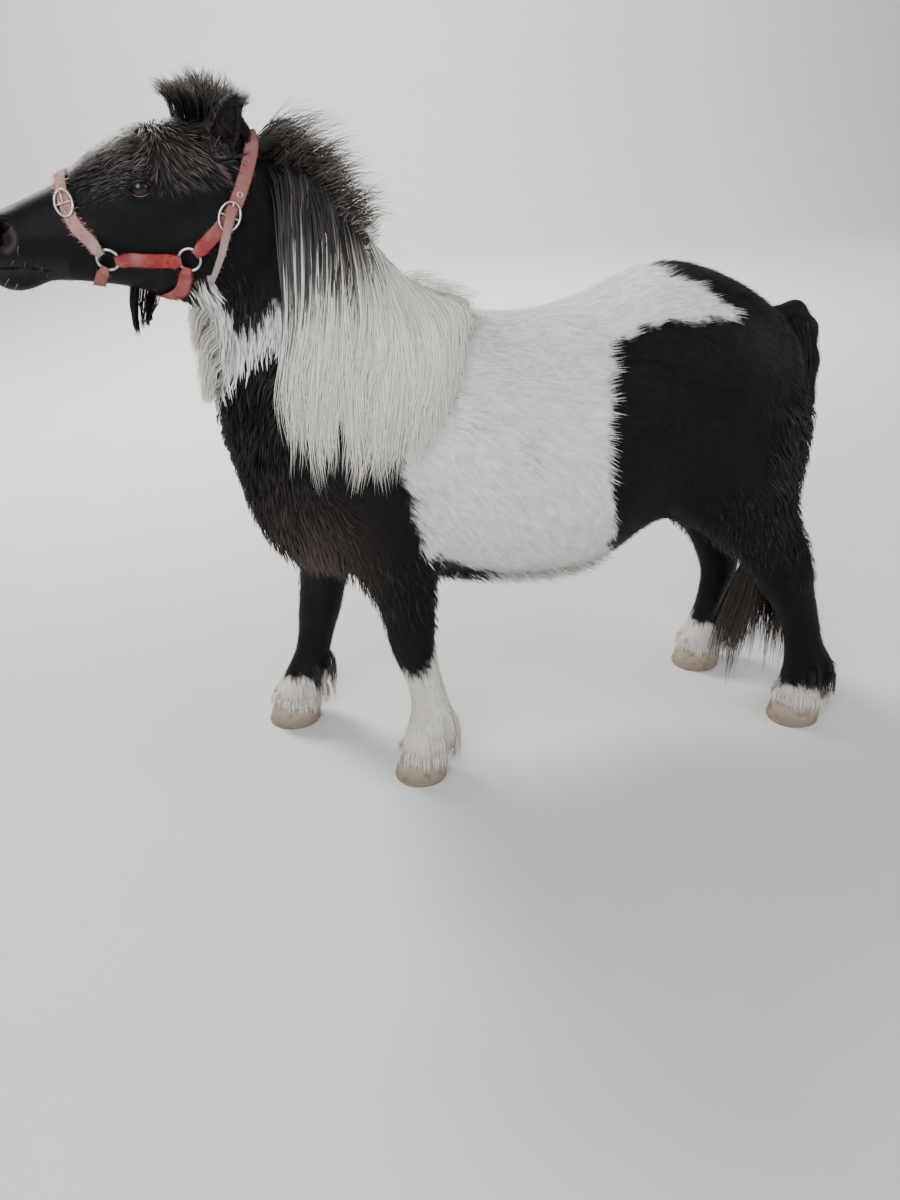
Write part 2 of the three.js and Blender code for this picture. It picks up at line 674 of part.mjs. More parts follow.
// Hooves: a low horn box with a flat sole, wider at the ground than at the coronet
const HOOF_STEPS = [
  { z: 0, grow: 5, forward: 9 },
  { z: 3, grow: 6, forward: 8.5 },
  { z: 26, grow: 4, forward: 4 },
  { z: CORONET, grow: 0.5, forward: 0 },
];
const HOOF_INSET = 3;
const HOOF_AROUND = 16;
function hoofSolid(name, grow = 0) {
  const [mid, side, long, , half] = legs[name].section(-CORONET);
  const stations = HOOF_STEPS.map((step, i) => {
    const down = i === 0 ? -grow : 0;
    const up = i === HOOF_STEPS.length - 1 ? grow : 0;
    return {
      p: vec(mid - step.forward, side, step.z + down + up),
      across: vec(1, 0, 0),
      out: vec(0, 1, 0),
      wide: 2 * (long + step.grow - HOOF_INSET + grow),
      thick: 2 * (half + step.grow - HOOF_INSET + grow),
    };
  });
  return tube(stations, HOOF_AROUND, true);
}

// Tail: a dock that leaves the croup, and locks that hang to the ground between the hind legs
const TAIL_LINE = [
  [770, 868], [812, 872], [843, 838], [858, 770], [862, 690], [858, 610], [850, 530], [840, 450],
];
function alongTail(share) {
  const place = clamp(share, 0, 1) * (TAIL_LINE.length - 1);
  const i = Math.min(TAIL_LINE.length - 2, Math.floor(place));
  const [ax, az] = TAIL_LINE[i];
  const [bx, bz] = TAIL_LINE[i + 1];
  return vec(mix(ax, bx, place - i), 0, mix(az, bz, place - i));
}
const DOCK_WIDE = [56, 58, 62, 64, 64, 58, 46, 22];
const DOCK_FLAT = 0.62;
const DOCK_POINT = 18;
const DOCK_AROUND = 10;
const dockStations = DOCK_WIDE.map((wide, i) => {
  const last = DOCK_WIDE.length - 1;
  const p = alongTail(i / last);
  const ahead = alongTail((i + 0.5) / last).sub(alongTail((i - 0.5) / last)).normalize();
  const out = vec(-ahead.z, 0, ahead.x);
  const point = i === last ? DOCK_POINT : 0;
  return { p, across: vec(0, -1, 0), out, wide, thick: wide * DOCK_FLAT, ahead, point };
});
const dock = tube(dockStations, DOCK_AROUND);
const TAIL_LOCKS = 11;
const TAIL_WIDE = 56;
const TAIL_THICK = 13;
const TAIL_STEPS = 6;
const TAIL_LEAVES_LINE = 450;
const tailLocks = [];
for (let i = 0; i < TAIL_LOCKS; i++) {
  const share = i / (TAIL_LOCKS - 1);
  const turn = mix(-2.2, 2.2, (i * 0.618) % 1);
  const start = alongTail(mix(0.3, 0.92, share));
  const reach = mix(15, 9, share);
  const way = vec(Math.cos(turn), Math.sin(turn) * 1.5, 0);
  const floor = 34 + random() * 60 + 110 * (1 - share) * random();
  const end = vec(i % 3 === 0 ? 860 : mix(736, 806, random()), vary(44), floor);
  const points = [];
  const outs = [];
  for (let j = 0; j <= TAIL_STEPS; j++) {
    const s = j / TAIL_STEPS;
    const z = mix(start.z, end.z, Math.pow(s, 0.92));
    const held = clamp(0.2 + ((838 - z) / 388) * 0.8, 0, 1);
    const line = z > TAIL_LEAVES_LINE ? alongTail(held).x : 840;
    const low = clamp((TAIL_LEAVES_LINE - z) / 420, 0, 1);
    const swell = reach * Math.sin(Math.PI * Math.min(1, s + 0.12));
    const x = mix(line, end.x, low * low * (3 - 2 * low)) + way.x * swell;
    points.push(vec(x, way.y * swell + end.y * low + 6 * Math.sin(s * 9 + i) * low, z));
    outs.push(vec(way.x + 0.05, way.y, 0).normalize());
  }
  tailLocks.push(lockThrough(points, outs, TAIL_WIDE, TAIL_THICK));
}

// Ears: a leaf-shaped cup that opens outward. Rows give the share of its height, its width and its depth.
const EAR_ROWS = [[0, 44, 40], [0.22, 55, 42], [0.45, 54, 36], [0.68, 40, 26], [0.86, 22, 15]];
const EAR_POINT = 14;
const EAR_WALL = 5.5;
const EAR_AROUND = 12;
function earSolid(side) {
  const foot = vec(-296, side * 47, 1190);
  const tip = vec(-256, side * 66, 1284);
  const ahead = tip.clone().sub(foot).normalize();
  const out = vec(-0.32, side * 0.94, 0);
  const across = ahead.clone().cross(out).normalize();
  out.copy(across).cross(ahead).normalize();
  const row = (share, wide, thick, shift, point) => ({
    p: foot.clone().lerp(tip, share).addScaledVector(out, shift),
    across,
    out,
    wide,
    thick,
    ahead,
    point,
  });
  const outer = EAR_ROWS.map(([share, wide, thick]) => row(share, wide, thick, 0, EAR_POINT));
  const inner = EAR_ROWS.slice(1).map(([share, wide, thick]) =>
    row(share + 0.04, wide - 2 * EAR_WALL, thick * 1.02, thick * 0.42, EAR_POINT / 2),
  );
  return tube(outer, EAR_AROUND).subtract(tube(inner, EAR_AROUND - 2));
}

// Eyes, lids, nostrils and mouth
function ball(centre, radii, turn = 0, around = 12, rings = 8) {
  const geometry = new THREE.SphereGeometry(1, around, rings);
  geometry.scale(radii.x, radii.y, radii.z);
  geometry.rotateY(turn);
  geometry.translate(centre.x, centre.y, centre.z);
  return solidOf(geometry);
}
const EYE_RADIUS = 19;
const eyeCentre = (side) => vec(-419, side * 73, 1151);
const eyeSolid = (side, grow = 0) =>
  ball(eyeCentre(side), vec(1, 1, 1).multiplyScalar(EYE_RADIUS + grow));
function eyeOpening(side) {
  const almond = new THREE.Shape();
  almond.moveTo(-18, -2);
  almond.quadraticCurveTo(-8, 12, 4, 11);
  almond.quadraticCurveTo(14, 9, 18, -3);
  almond.quadraticCurveTo(4, -13, -18, -2);
  const prism = new THREE.ExtrudeGeometry(almond, { depth: 60, bevelEnabled: false, curveSegments: 4 });
  if (side < 0) prism.rotateX(Math.PI / 2);
  else prism.rotateX(Math.PI / 2).translate(0, 60, 0);
  prism.rotateY(0.12);
  const centre = eyeCentre(side);
  prism.translate(centre.x - 1, centre.y, centre.z);
  return solidOf(prism);
}
const lidBall = (side) => ball(eyeCentre(side), vec(25, 22.5, 22.5), 0.15);
const nostrilHole = (side) => ball(vec(-651, side * 43, 1082), vec(11, 15, 17), -0.35, 10, 6);
function mouthGroove() {
  const line = new THREE.Shape([
    new THREE.Vector2(-720, 1044),
    new THREE.Vector2(-660, 1037),
    new THREE.Vector2(-610, 1034),
    new THREE.Vector2(-579, 1026),
    new THREE.Vector2(-610, 1030.5),
    new THREE.Vector2(-660, 1033),
    new THREE.Vector2(-720, 1039),
  ]);
  const sheet = new THREE.ExtrudeGeometry(line, { depth: 160, bevelEnabled: false });
  sheet.rotateX(Math.PI / 2);
  sheet.translate(0, 80, 0);
  return solidOf(sheet).subtract(ball(vec(-590, 0, 1035), vec(92, 44, 40)));
}

// Head collar: webbing laid on the head along [station, turn] pairs, where a turn of 0 is the face line
// and 180 the jaw line, on the near side for side -1
const WEB_LEVEL = 2;
const WEB_THICK = 3;
const WEB_STEP = 18;
const RING_RADIUS = 17.5;
const RING_WIRE = 2.4;
const RING_LEVEL = 6;
const WRAP_CLEAR = 1.4;
const WRAP_FROM = 36;
const WRAP_TO = 24;
const PINCH_FROM = 27;
const PINCH_TO = 15;
const PINCH_SHARE = 0.62;
function onHead([at, turn], side, level) {
  const angle = THREE.MathUtils.degToRad(turn) * side;
  return settle(bodyField, head.point(at, angle, turn < 1 || turn > 179 ? 100 : 90), level);
}
const JAW_RING = [110, 131];
const NOSE_RING = [246, 122];
const jawRing = (side) => onHead(JAW_RING, side, RING_LEVEL);
const noseRing = (side) => onHead(NOSE_RING, side, RING_LEVEL);

// Even steps along a smooth run over the head, and flat webbing along it that rises over the ring wires
function headRun(places, step) {
  const line = new THREE.CatmullRomCurve3(places, false, "centripetal");
  const count = Math.max(3, Math.round(line.getLength() / step));
  return line.getSpacedPoints(count);
}
function webbing(places, wide, rings, level = WEB_LEVEL, taper = 1) {
  const run = headRun(places, WEB_STEP);
  const points = [];
  const toRing = (p) => Math.min(1e3, ...rings.map((centre) => centre.distanceTo(p)));
  const lift = (p) => {
    const overWire = RING_LEVEL + RING_WIRE + WRAP_CLEAR + level - WEB_LEVEL;
    return mix(overWire, level, clamp((toRing(p) - WRAP_TO) / (WRAP_FROM - WRAP_TO), 0, 1));
  };
  run.forEach((p, i) => {
    const out = outward(bodyField, p);
    const ahead = run[Math.min(run.length - 1, i + 1)].clone().sub(run[Math.max(0, i - 1)]).normalize();
    const across = out.clone().cross(ahead).normalize();
    const free = clamp((toRing(p) - PINCH_TO) / (PINCH_FROM - PINCH_TO), 0, 1);
    const pinch = mix(PINCH_SHARE, 1, free);
    const half = (wide / 2) * mix(1, taper, i / (run.length - 1)) * pinch;
    for (const [flank, rise] of [[-1, 0], [1, 0], [1, WEB_THICK], [-1, WEB_THICK]]) {
      const corner = p.clone().addScaledVector(across, flank * half);
      points.push(settle(bodyField, corner, lift(corner) + rise));
    }
  });
  const index = [];
  for (let i = 0; i + 1 < run.length; i++) {
    for (let j = 0; j < 4; j++) {
      const a = i * 4 + j;
      const b = i * 4 + ((j + 1) % 4);
      index.push(a, b, b + 4, a, b + 4, a + 4);
    }
  }
  const last = (run.length - 1) * 4;
  index.push(0, 2, 1, 0, 3, 2, last, last + 1, last + 2, last, last + 2, last + 3);
  return solidOf(meshOf(points, index));
}

// The point on the way from a ring's centre to the next place where the webbing folds over the wire
const onWire = (centre, next) => centre.clone().lerp(next, (RING_RADIUS - 5) / centre.distanceTo(next));
const onBoth = (pairs) => [
  ...pairs.map((pair) => onHead(pair, -1, WEB_LEVEL)),
  ...pairs.slice(0, -1).reverse().map((pair) => onHead(pair, 1, WEB_LEVEL)),
];
function between(ringOf, pairs) {
  const middle = onBoth(pairs);
  const first = onWire(ringOf(-1), middle[0]);
  const last = onWire(ringOf(1), middle[middle.length - 1]);
  return [first, ...middle, last];
}
const bothRings = (ringOf) => sides.map((side) => ringOf(side));
const NOSEBAND = [[262, 104], [280, 76], [288, 50], [286, 24], [282, 0]];
const CHIN_STRAP = [[266, 150], [272, 166], [274, 180]];
const THROAT_STRAP = [[119, 145], [132, 157], [156, 170], [164, 180]];
const CROWN_STRAP = [[80, 118], [39, 97], [17, 80], [-1, 62], [-14, 44], [-22, 22], [-25, 0]];
const CHEEK_STRAP = [[214, 124], [178, 127], [142, 129]];
const LOOSE_END = [[30, 88], [42, 102], [54, 118], [64, 131], [74, 141], [82, 149]];
const LOOSE_LEVEL = 12.4;
const noseband = () => webbing(between(noseRing, NOSEBAND), 21, bothRings(noseRing));
const chinStrap = () => webbing(between(noseRing, CHIN_STRAP), 20, bothRings(noseRing));
const throatStrap = () => webbing(between(jawRing, THROAT_STRAP), 22, bothRings(jawRing));
const crownStrap = () => webbing(between(jawRing, CROWN_STRAP), 23, bothRings(jawRing));
function cheekStrap(side) {
  const middle = CHEEK_STRAP.map((pair) => onHead(pair, side, WEB_LEVEL));
  const run = [onWire(noseRing(side), middle[0]), ...middle, onWire(jawRing(side), middle[2])];
  return webbing(run, 24, [noseRing(side), jawRing(side)]);
}
function looseEnd() {
  const run = LOOSE_END.map((pair) => onHead(pair, -1, LOOSE_LEVEL));
  return webbing(run, 17, [], LOOSE_LEVEL, 0.5);
}

// Places a flat piece, drawn in its own XY plane, on the head: its face looks out and its Y points to `to`
function laidOnHead(geometry, centre, to) {
  const out = outward(bodyField, centre);
  const up = to.clone().sub(centre);
  up.addScaledVector(out, -up.dot(out)).normalize();
  geometry.applyMatrix4(new THREE.Matrix4().makeBasis(up.clone().cross(out).normalize(), up, out));
  geometry.translate(centre.x, centre.y, centre.z);
  return solidOf(geometry);
}
const ring = (centre, to, grow = 0) =>
  laidOnHead(new THREE.TorusGeometry(RING_RADIUS, RING_WIRE + grow, 5, 12), centre, to);
const BUCKLE_WIRE = 4.2;
function buckle(wide, long, centre, to) {
  const frame = new THREE.Shape();
  frame.absellipse(0, 0, wide / 2, long / 2, 0, 2 * Math.PI);
  const window = new THREE.Path();
  window.absellipse(0, 0, wide / 2 - BUCKLE_WIRE, long / 2 - BUCKLE_WIRE, 0, 2 * Math.PI);
  frame.holes.push(window);
  const shape = { depth: BUCKLE_WIRE, bevelEnabled: false, curveSegments: 8 };
  const rim = new THREE.ExtrudeGeometry(frame, shape);
  const bar = new THREE.BoxGeometry(wide - BUCKLE_WIRE - 1, BUCKLE_WIRE, 3);
  bar.translate(0, 0, BUCKLE_WIRE / 2);
  return laidOnHead(rim, centre, to).add(laidOnHead(bar, centre, to));
}
const BUCKLE_LEVEL = WEB_LEVEL + WEB_THICK + 1.2;

let headNode = headFlesh(0, NODE_GAP);
for (const side of sides) headNode = headNode.add(lidBall(side));
headNode = headNode.subtract(mouthGroove());
for (const side of sides) headNode = headNode.subtract(eyeOpening(side)).subtract(nostrilHole(side));
for (const side of sides) headNode = headNode.subtract(eyeSolid(side, NODE_GAP));
headNode = joined([headNode, ...forelock, ...beard]);
const grownHead = headFlesh(NODE_GAP, -NODE_GAP);
const grownTorso = trunkFlesh(NODE_GAP, -NODE_GAP);
const grownNeck = neckFlesh(NODE_GAP, -NODE_GAP);
const clearOf = (solid, others) => others.reduce((left, other) => left.subtract(other), solid);

const root = new THREE.Group();
root.name = "shetland_pony";
function addNode(name, solid, colour, roughness = 0.9, metalness = 0) {
  const material = new THREE.MeshStandardMaterial({ color: colour, roughness, metalness });
  const mesh = new THREE.Mesh(geometryOf(largest(solid)), material);
  mesh.name = name;
  root.add(mesh);
}
const sideName = (side) => (side < 0 ? "near" : "off");
const ears = sides.map((side) => earSolid(side));
addNode("head", headNode, COAT_BLACK);
const neckWithMane = joined([neckFlesh(0, NODE_GAP), ...maneLocks]);
addNode("neck", clearOf(neckWithMane, [grownTorso, grownHead]), COAT_BLACK);
addNode("torso", torsoFlesh(), COAT_WHITE);
sides.forEach((side, i) => {
  addNode("ear_" + sideName(side), clearOf(ears[i], [grownHead, grownNeck]), COAT_BLACK);
  addNode("eye_" + sideName(side), eyeSolid(side), EYE_DARK, 0.15);
});
for (const name of Object.keys(legs)) {
  const covered = joined([legFlesh(name, 0, NODE_GAP), ...featherOf(name)]);
  addNode("leg_" + name, covered.subtract(hoofSolid(name, NODE_GAP)), COAT_BLACK);
  addNode("hoof_" + name, hoofSolid(name), HOOF_HORN, 0.6);
}
const grownHinds = ["hind_near", "hind_off"].map((name) => legFlesh(name, NODE_GAP, -NODE_GAP));
addNode("tail", clearOf(joined([dock, ...tailLocks]), [grownTorso, ...grownHinds]), COAT_BLACK);

const straps = {
  noseband: noseband(),
  chin_strap: chinStrap(),
  throat_strap: throatStrap(),
  crown_strap: crownStrap(),
};
for (const side of sides) straps["cheek_strap_" + sideName(side)] = cheekStrap(side);
straps.loose_end = looseEnd();
const jawRingSolid = (side, grow) => ring(jawRing(side), onHead([60, 100], side, RING_LEVEL), grow);
const noseRingSolid = (side, grow) => ring(noseRing(side), onHead([280, 60], side, RING_LEVEL), grow);
const grownRings = sides.flatMap((side) => [jawRingSolid(side, NODE_GAP), noseRingSolid(side, NODE_GAP)]);
for (const [name, strap] of Object.entries(straps)) {
  addNode("halter_" + name, clearOf(strap, [grownHead, grownNeck, ...grownRings]), WEBBING_RED, 0.85);
}
for (const side of sides) {
  addNode("halter_jaw_ring_" + sideName(side), jawRingSolid(side, 0), METAL, 0.35, 1);
  addNode("halter_nose_ring_" + sideName(side), noseRingSolid(side, 0), METAL, 0.35, 1);
}
const onWebbing = (pair) => onHead(pair, -1, BUCKLE_LEVEL);
const noseBuckle = buckle(33, 45, onWebbing([288, 51]), onWebbing([282, 20]));
const crownBuckle = buckle(37, 50, onWebbing([39, 97]), onWebbing([4, 60]));
addNode("halter_nose_buckle", noseBuckle, METAL, 0.35, 1);
addNode("halter_crown_buckle", crownBuckle, METAL, 0.35, 1);

const box = new THREE.Box3().setFromObject(root);
root.position.set(-(box.min.x + box.max.x) / 2, -(box.min.y + box.max.y) / 2, 0);

export default root;
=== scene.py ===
"""Looks of a shaggy piebald Shetland pony in a webbing head collar.

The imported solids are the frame. One skin replaces the parts of the body and a coat of tufts lies over it.
The mane, forelock, beard, tail and feather are strands gathered in locks. Lengths are metres, tables are
millimetres.
"""

import logging
import math
from dataclasses import dataclass
from enum import Enum
from typing import Callable, ClassVar, Optional, Sequence

import bpy
import numpy as np
from mathutils import Matrix, Vector


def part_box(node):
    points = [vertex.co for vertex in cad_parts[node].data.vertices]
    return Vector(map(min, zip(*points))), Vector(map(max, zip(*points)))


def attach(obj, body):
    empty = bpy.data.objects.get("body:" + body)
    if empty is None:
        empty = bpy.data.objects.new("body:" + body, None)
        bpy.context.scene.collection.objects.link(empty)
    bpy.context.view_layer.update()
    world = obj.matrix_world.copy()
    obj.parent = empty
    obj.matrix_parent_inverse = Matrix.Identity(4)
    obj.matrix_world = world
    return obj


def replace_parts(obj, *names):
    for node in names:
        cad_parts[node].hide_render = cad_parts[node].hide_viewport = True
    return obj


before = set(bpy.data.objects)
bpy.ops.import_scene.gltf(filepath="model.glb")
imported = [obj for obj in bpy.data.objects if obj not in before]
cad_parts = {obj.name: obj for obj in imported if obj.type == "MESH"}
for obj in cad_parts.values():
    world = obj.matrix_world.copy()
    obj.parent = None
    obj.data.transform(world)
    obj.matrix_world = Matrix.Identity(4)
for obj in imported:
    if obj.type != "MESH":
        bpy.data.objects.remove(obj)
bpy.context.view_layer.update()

logging.basicConfig(level=logging.INFO, format="%(message)s")
LOG = logging.getLogger("pony")

MM = 0.001
TRUNK_BLEND, LIMB_BLEND, FORM_BLEND = 0.055, 0.045, 0.022
PIECE_MOST = 195000
PATCH = 0.003
ROUND = 2 * math.pi

Array = np.ndarray
Field = Callable[[Array], Array]


class Side(Enum):
    """The pony's two sides, as the sign of Y."""

    NEAR = -1
    OFF = 1

    @property
    def label(self) -> str:
        """Returns the side's part of a name."""
        return self.name.lower()


SHIFT = np.mean(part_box("eye_near"), axis=0) - np.array([-0.419, -0.073, 1.151])


def mix(first: Array, second: Array, share: Array) -> Array:
    """Returns the value a share of the way from first to second."""
    return first + (second - first) * share


def ease(low: float, high: float, value: Array) -> Array:
    """Returns 0 at low, 1 at high and a smooth rise between."""
    share = np.clip((value - low) / (high - low), 0.0, 1.0)
    return share * share * (3.0 - 2.0 * share)


def unit(vectors: Array) -> Array:
    """Returns the vectors at length one, along the last axis."""
    return vectors / np.maximum(np.linalg.norm(vectors, axis=-1, keepdims=True), 1e-12)


def apart(p: Array) -> tuple:
    """Returns the x, y and z of points."""
    return p[..., 0], p[..., 1], p[..., 2]


def far_from(p: Array, place: Array) -> Array:
    """Returns how far points lie from a place."""
    return np.linalg.norm(p - place, axis=-1)


def hermite(knots: Sequence[float], values: Sequence[float], at: Array) -> Array:
    """Reads a smooth curve through knots and values, flat past its ends.

    Args:
        knots: Rising places of the knots.
        values: The curve's value at each knot.
        at: Where to read it.

    Returns:
        The curve's values.
    """
    x, v = np.asarray(knots, float), np.asarray(values, float)
    slope = np.diff(v) / np.diff(x)
    wide = (v[2:] - v[:-2]) / (x[2:] - x[:-2])
    slope = np.concatenate([slope[:1], wide, slope[-1:]])
    place = np.clip(at, x[0], x[-1])
    i = np.clip(np.searchsorted(x, place, side="right") - 1, 0, len(x) - 2)
    span = x[i + 1] - x[i]
    u = (place - x[i]) / span
    rise = (1 + 2 * u) * (1 - u) ** 2 * v[i] + u * u * (3 - 2 * u) * v[i + 1]
    return rise + span * u * (1 - u) * ((1 - u) * slope[i] - u * slope[i + 1])


def smooth_join(a: Array, b: Array, width: float) -> Array:
    """Joins two distance fields with a fillet of about the given width."""
    near = np.maximum(width - np.abs(a - b), 0.0) / width
    return np.minimum(a, b) - near * near * width / 4


def smooth_cut(a: Array, b: Array, width: float) -> Array:
    """Cuts field b out of field a with a softened edge."""
    return -smooth_join(-a, b, width)


@dataclass
class Mass:
    """A mass of flesh along a straight line, given by its section at stations in millimetres.

    Attributes:
        origin: Where station 0 lies.
        along: The way the stations run.
        stations: Rows of at, mid, top, base, half, power, egg and side.
        up: The way the top of a section faces; worked out in the XZ plane when left out.
    """

    origin: Sequence[float]
    along: Sequence[float]
    stations: Sequence[dict]
    up: Optional[Sequence[float]] = None
    USUAL: ClassVar[dict] = {"mid": 0.0, "side": 0.0, "top": 50.0, "base": 50.0, "half": 50.0, "power": 2.0,
                             "egg": 0.0}

    def __post_init__(self) -> None:
        """Works out the frame of the line and a fine table of the sections."""
        self.o = np.array(self.origin, float) * MM
        self.a = unit(np.array(self.along, float))
        self.u, self.s = np.array([-self.a[2], 0.0, self.a[0]]), np.array([0.0, 1.0, 0.0])
        if self.up is not None:
            self.u = unit(np.array(self.up, float))
            self.s = np.cross(self.a, self.u)
        elif self.u[2] < 0 or (self.u[2] == 0 and self.u[0] < 0):
            self.u = -self.u
        at = [row["at"] for row in self.stations]
        self.first, self.last = at[0] * MM, at[-1] * MM
        grid = np.linspace(at[0], at[-1], 241)
        self.grid = grid * MM
        self.table = {name: hermite(at, [row.get(name, plain) for row in self.stations], grid)
                      * (1.0 if name in ("power", "egg") else MM) for name, plain in self.USUAL.items()}

    def section(self, at: Array) -> dict:
        """Returns the section's values at each station."""
        return {name: np.interp(at, self.grid, values) for name, values in self.table.items()}

    def local(self, points: Array) -> tuple:
        """Returns a point's station, rise and offset from the line."""
        d = points - self.o
        return d @ self.a, d @ self.u, d @ self.s

    def __call__(self, points: Array) -> Array:
        """Returns the distance of points from this mass, below zero inside."""
        at, rise, off = self.local(points)
        held = np.clip(at, self.first, self.last)
        sec = self.section(held)
        rise, off, power = rise - sec["mid"], off - sec["side"], sec["power"]
        reach = np.where(rise > 0, sec["top"], sec["base"])
        wide = sec["half"] * (1 + sec["egg"] * np.clip(rise / reach, -1, 1))
        share = ((np.abs(rise) / reach) ** power + (np.abs(off) / wide) ** power) ** (1 / power)
        length = np.hypot(rise, off)
        radial = np.where(share > 1e-4, length * (1 - 1 / np.maximum(share, 1e-4)), -np.minimum(reach, wide))
        over = at - held
        return np.where(over == 0, radial, np.hypot(np.maximum(radial, 0), over))

    def point(self, at: float, turn: float, radius: float) -> Array:
        """Returns the point at a station, turned from the top by an angle, at a radius."""
        sec = self.section(np.array(at))
        across = sec["side"] + math.sin(turn) * radius
        return self.o + self.a * at + self.u * (sec["mid"] + math.cos(turn) * radius) + self.s * across


def muscle(p: Array, centre: Sequence[float], radii: Sequence[float]) -> Array:
    """Returns the distance from a rounded form, an ellipsoid by its centre and radii in millimetres."""
    return (np.linalg.norm((p - np.array(centre) * MM) / (np.array(radii) * MM), axis=-1)
            - 1) * min(radii) * MM


def rows(names: str, *values: Sequence[float]) -> list:
    """Returns stations from plain rows of values under the given names."""
    return [dict(zip(names.split(), row)) for row in values]


def trunk_row(x: float, back: float, belly: float, half: float) -> dict:
    """Returns the trunk's section from its back and belly lines."""
    middle = mix(back, belly, 0.48)
    return {"at": x, "mid": middle, "top": back - middle, "base": middle - belly, "half": half, "power": 2.2,
            "egg": -0.08}


def leg(side: Side, *table: Sequence[float]) -> Mass:
    """Returns a leg from rows of height, centre x, half length, half width and distance from the middle."""
    return Mass((0, 0, 0), (0, 0, -1), [
        {"at": -height, "mid": x, "top": long, "base": long, "half": half, "power": 2.1,
         "side": side.value * (out[0] if out else 142)} for height, x, long, half, *out in table])


TRUNK = Mass((0, 0, 0), (1, 0, 0), [trunk_row(*row) for row in (
    (-330, 790, 740, 22), (-320, 840, 682, 76), (-298, 878, 622, 114), (-250, 915, 550, 153),
    (-180, 948, 492, 184),
    (-90, 955, 452, 200), (0, 948, 425, 214), (100, 930, 404, 236), (200, 914, 391, 250),
    (300, 917, 391, 254),
    (390, 944, 414, 244), (470, 979, 470, 226), (550, 990, 545, 210), (630, 969, 585, 198),
    (695, 934, 612, 180),
    (748, 894, 640, 152), (780, 856, 680, 112), (796, 818, 716, 62), (802, 782, 752, 20))])
NECK = Mass((20, 0, 760), (-280, 0, 360), rows(
    "at top base half egg power", (0, 150, 250, 150, -0.22, 2.2), (110, 130, 275, 128, -0.24, 2.2),
    (200, 118, 268, 112, -0.24, 2.2), (290, 114, 222, 98, -0.22, 2.2), (360, 118, 176, 88, -0.18, 2.2),
    (420, 116, 132, 82, -0.12, 2.2), (470, 98, 92, 72, -0.1, 2.2), (515, 86, 60, 60, 0, 2.2)))
HEAD = Mass((-250, 0, 1120), (-0.9903, 0, -0.139), rows(
    "at top base half power egg", (-20, 88, 96, 58, 2.2), (15, 112, 134, 74, 2.3),
    (55, 128, 150, 84, 2.4, 0.02),
    (100, 140, 146, 90, 2.5, 0.08), (150, 140, 134, 90, 2.5, 0.14), (195, 128, 114, 82, 2.4, 0.16),
    (240, 107, 96, 69, 2.3, 0.12), (290, 83, 80, 57, 2.3, 0.06), (340, 68, 68, 51, 2.3, 0.02),
    (385, 56, 60, 53, 2.3), (415, 42, 50, 50, 2.3), (435, 26, 34, 36, 2.2), (443, 9, 11, 12, 2)))
LEGS = {
    "fore_near": leg(Side.NEAR, (620, -70, 112, 62, 118), (540, -62, 104, 60, 126), (450, -36, 72, 54, 136),
                     (400, -28, 62, 49), (350, -21, 54, 46), (300, -17, 48, 45), (270, -10, 45, 43),
                     (220, 5, 40, 36), (170, 15, 42, 36), (125, 19, 52, 44), (92, 12, 55, 49),
                     (60, 4, 53, 51), (40, 0, 51, 50)),
    "fore_off": leg(Side.OFF, (620, -80, 112, 62, 118), (530, -95, 100, 60, 126), (440, -128, 74, 54, 136),
                    (370, -146, 61, 49), (310, -157, 53, 46), (262, -166, 50, 45), (215, -176, 44, 38),
                    (165, -188, 43, 36), (122, -199, 53, 44), (88, -213, 57, 49), (58, -225, 56, 51),
                    (40, -230, 54, 50)),
    "hind_near": leg(Side.NEAR, (720, 655, 145, 78, 118), (620, 652, 142, 78, 126), (550, 655, 138, 74, 130),
                     (480, 700, 106, 64, 134), (420, 745, 89, 55, 138), (370, 776, 73, 49),
                     (320, 797, 62, 45),
                     (250, 832, 48, 38), (190, 852, 47, 38), (140, 870, 57, 47), (100, 872, 58, 52),
                     (62, 864, 56, 53), (40, 859, 54, 52)),
    "hind_off": leg(Side.OFF, (720, 640, 145, 78, 118), (620, 618, 140, 78, 126), (540, 622, 126, 72, 130),
                    (470, 668, 104, 63, 134), (410, 716, 87, 54, 138), (360, 755, 72, 49), (310, 776, 61, 45),
                    (240, 788, 47, 38), (180, 784, 46, 38), (132, 786, 56, 47), (98, 775, 57, 52),
                    (62, 763, 56, 53), (40, 757, 54, 52))}
MUSCLES = [((-120, 118, 690), (150, 88, 225)), ((-205, 82, 640), (95, 80, 135)),
           ((602, 112, 690), (180, 98, 235))]
HEAD_FORMS = [((-322, 44, 1050), (84, 50, 82)), ((-414, 62, 1180), (40, 26, 24)),
              ((-646, 33, 1084), (26, 22, 30)),
              ((-500, 34, 1085), (90, 26, 22))]
CHIN = ((-634, 0, 1016), (38, 34, 24))


def with_forms(near: Array, p: Array, forms: Sequence[tuple], width: float) -> Array:
    """Joins rounded forms of both sides to a field, near side first."""
    for side in Side:
        for (x, y, z), radii in forms:
            near = smooth_join(near, muscle(p, (x, side.value * y, z), radii), width)
    return near


def body_field(p: Array) -> Array:
    """Distance from the trunk, neck and head, with their muscles, cheeks, brows, nostrils and chin."""
    trunk = with_forms(TRUNK(p), p, MUSCLES, TRUNK_BLEND)
    head = smooth_join(with_forms(HEAD(p), p, HEAD_FORMS, FORM_BLEND), muscle(p, *CHIN), FORM_BLEND)
    return smooth_join(smooth_join(trunk, NECK(p), TRUNK_BLEND), head, LIMB_BLEND)


def skin_field(p: Array) -> Array:
    """Distance from the whole animal, out to the ends of its coat."""
    near = body_field(p)
    for mass in LEGS.values():
        near = smooth_join(near, mass(p), LIMB_BLEND)
    return near


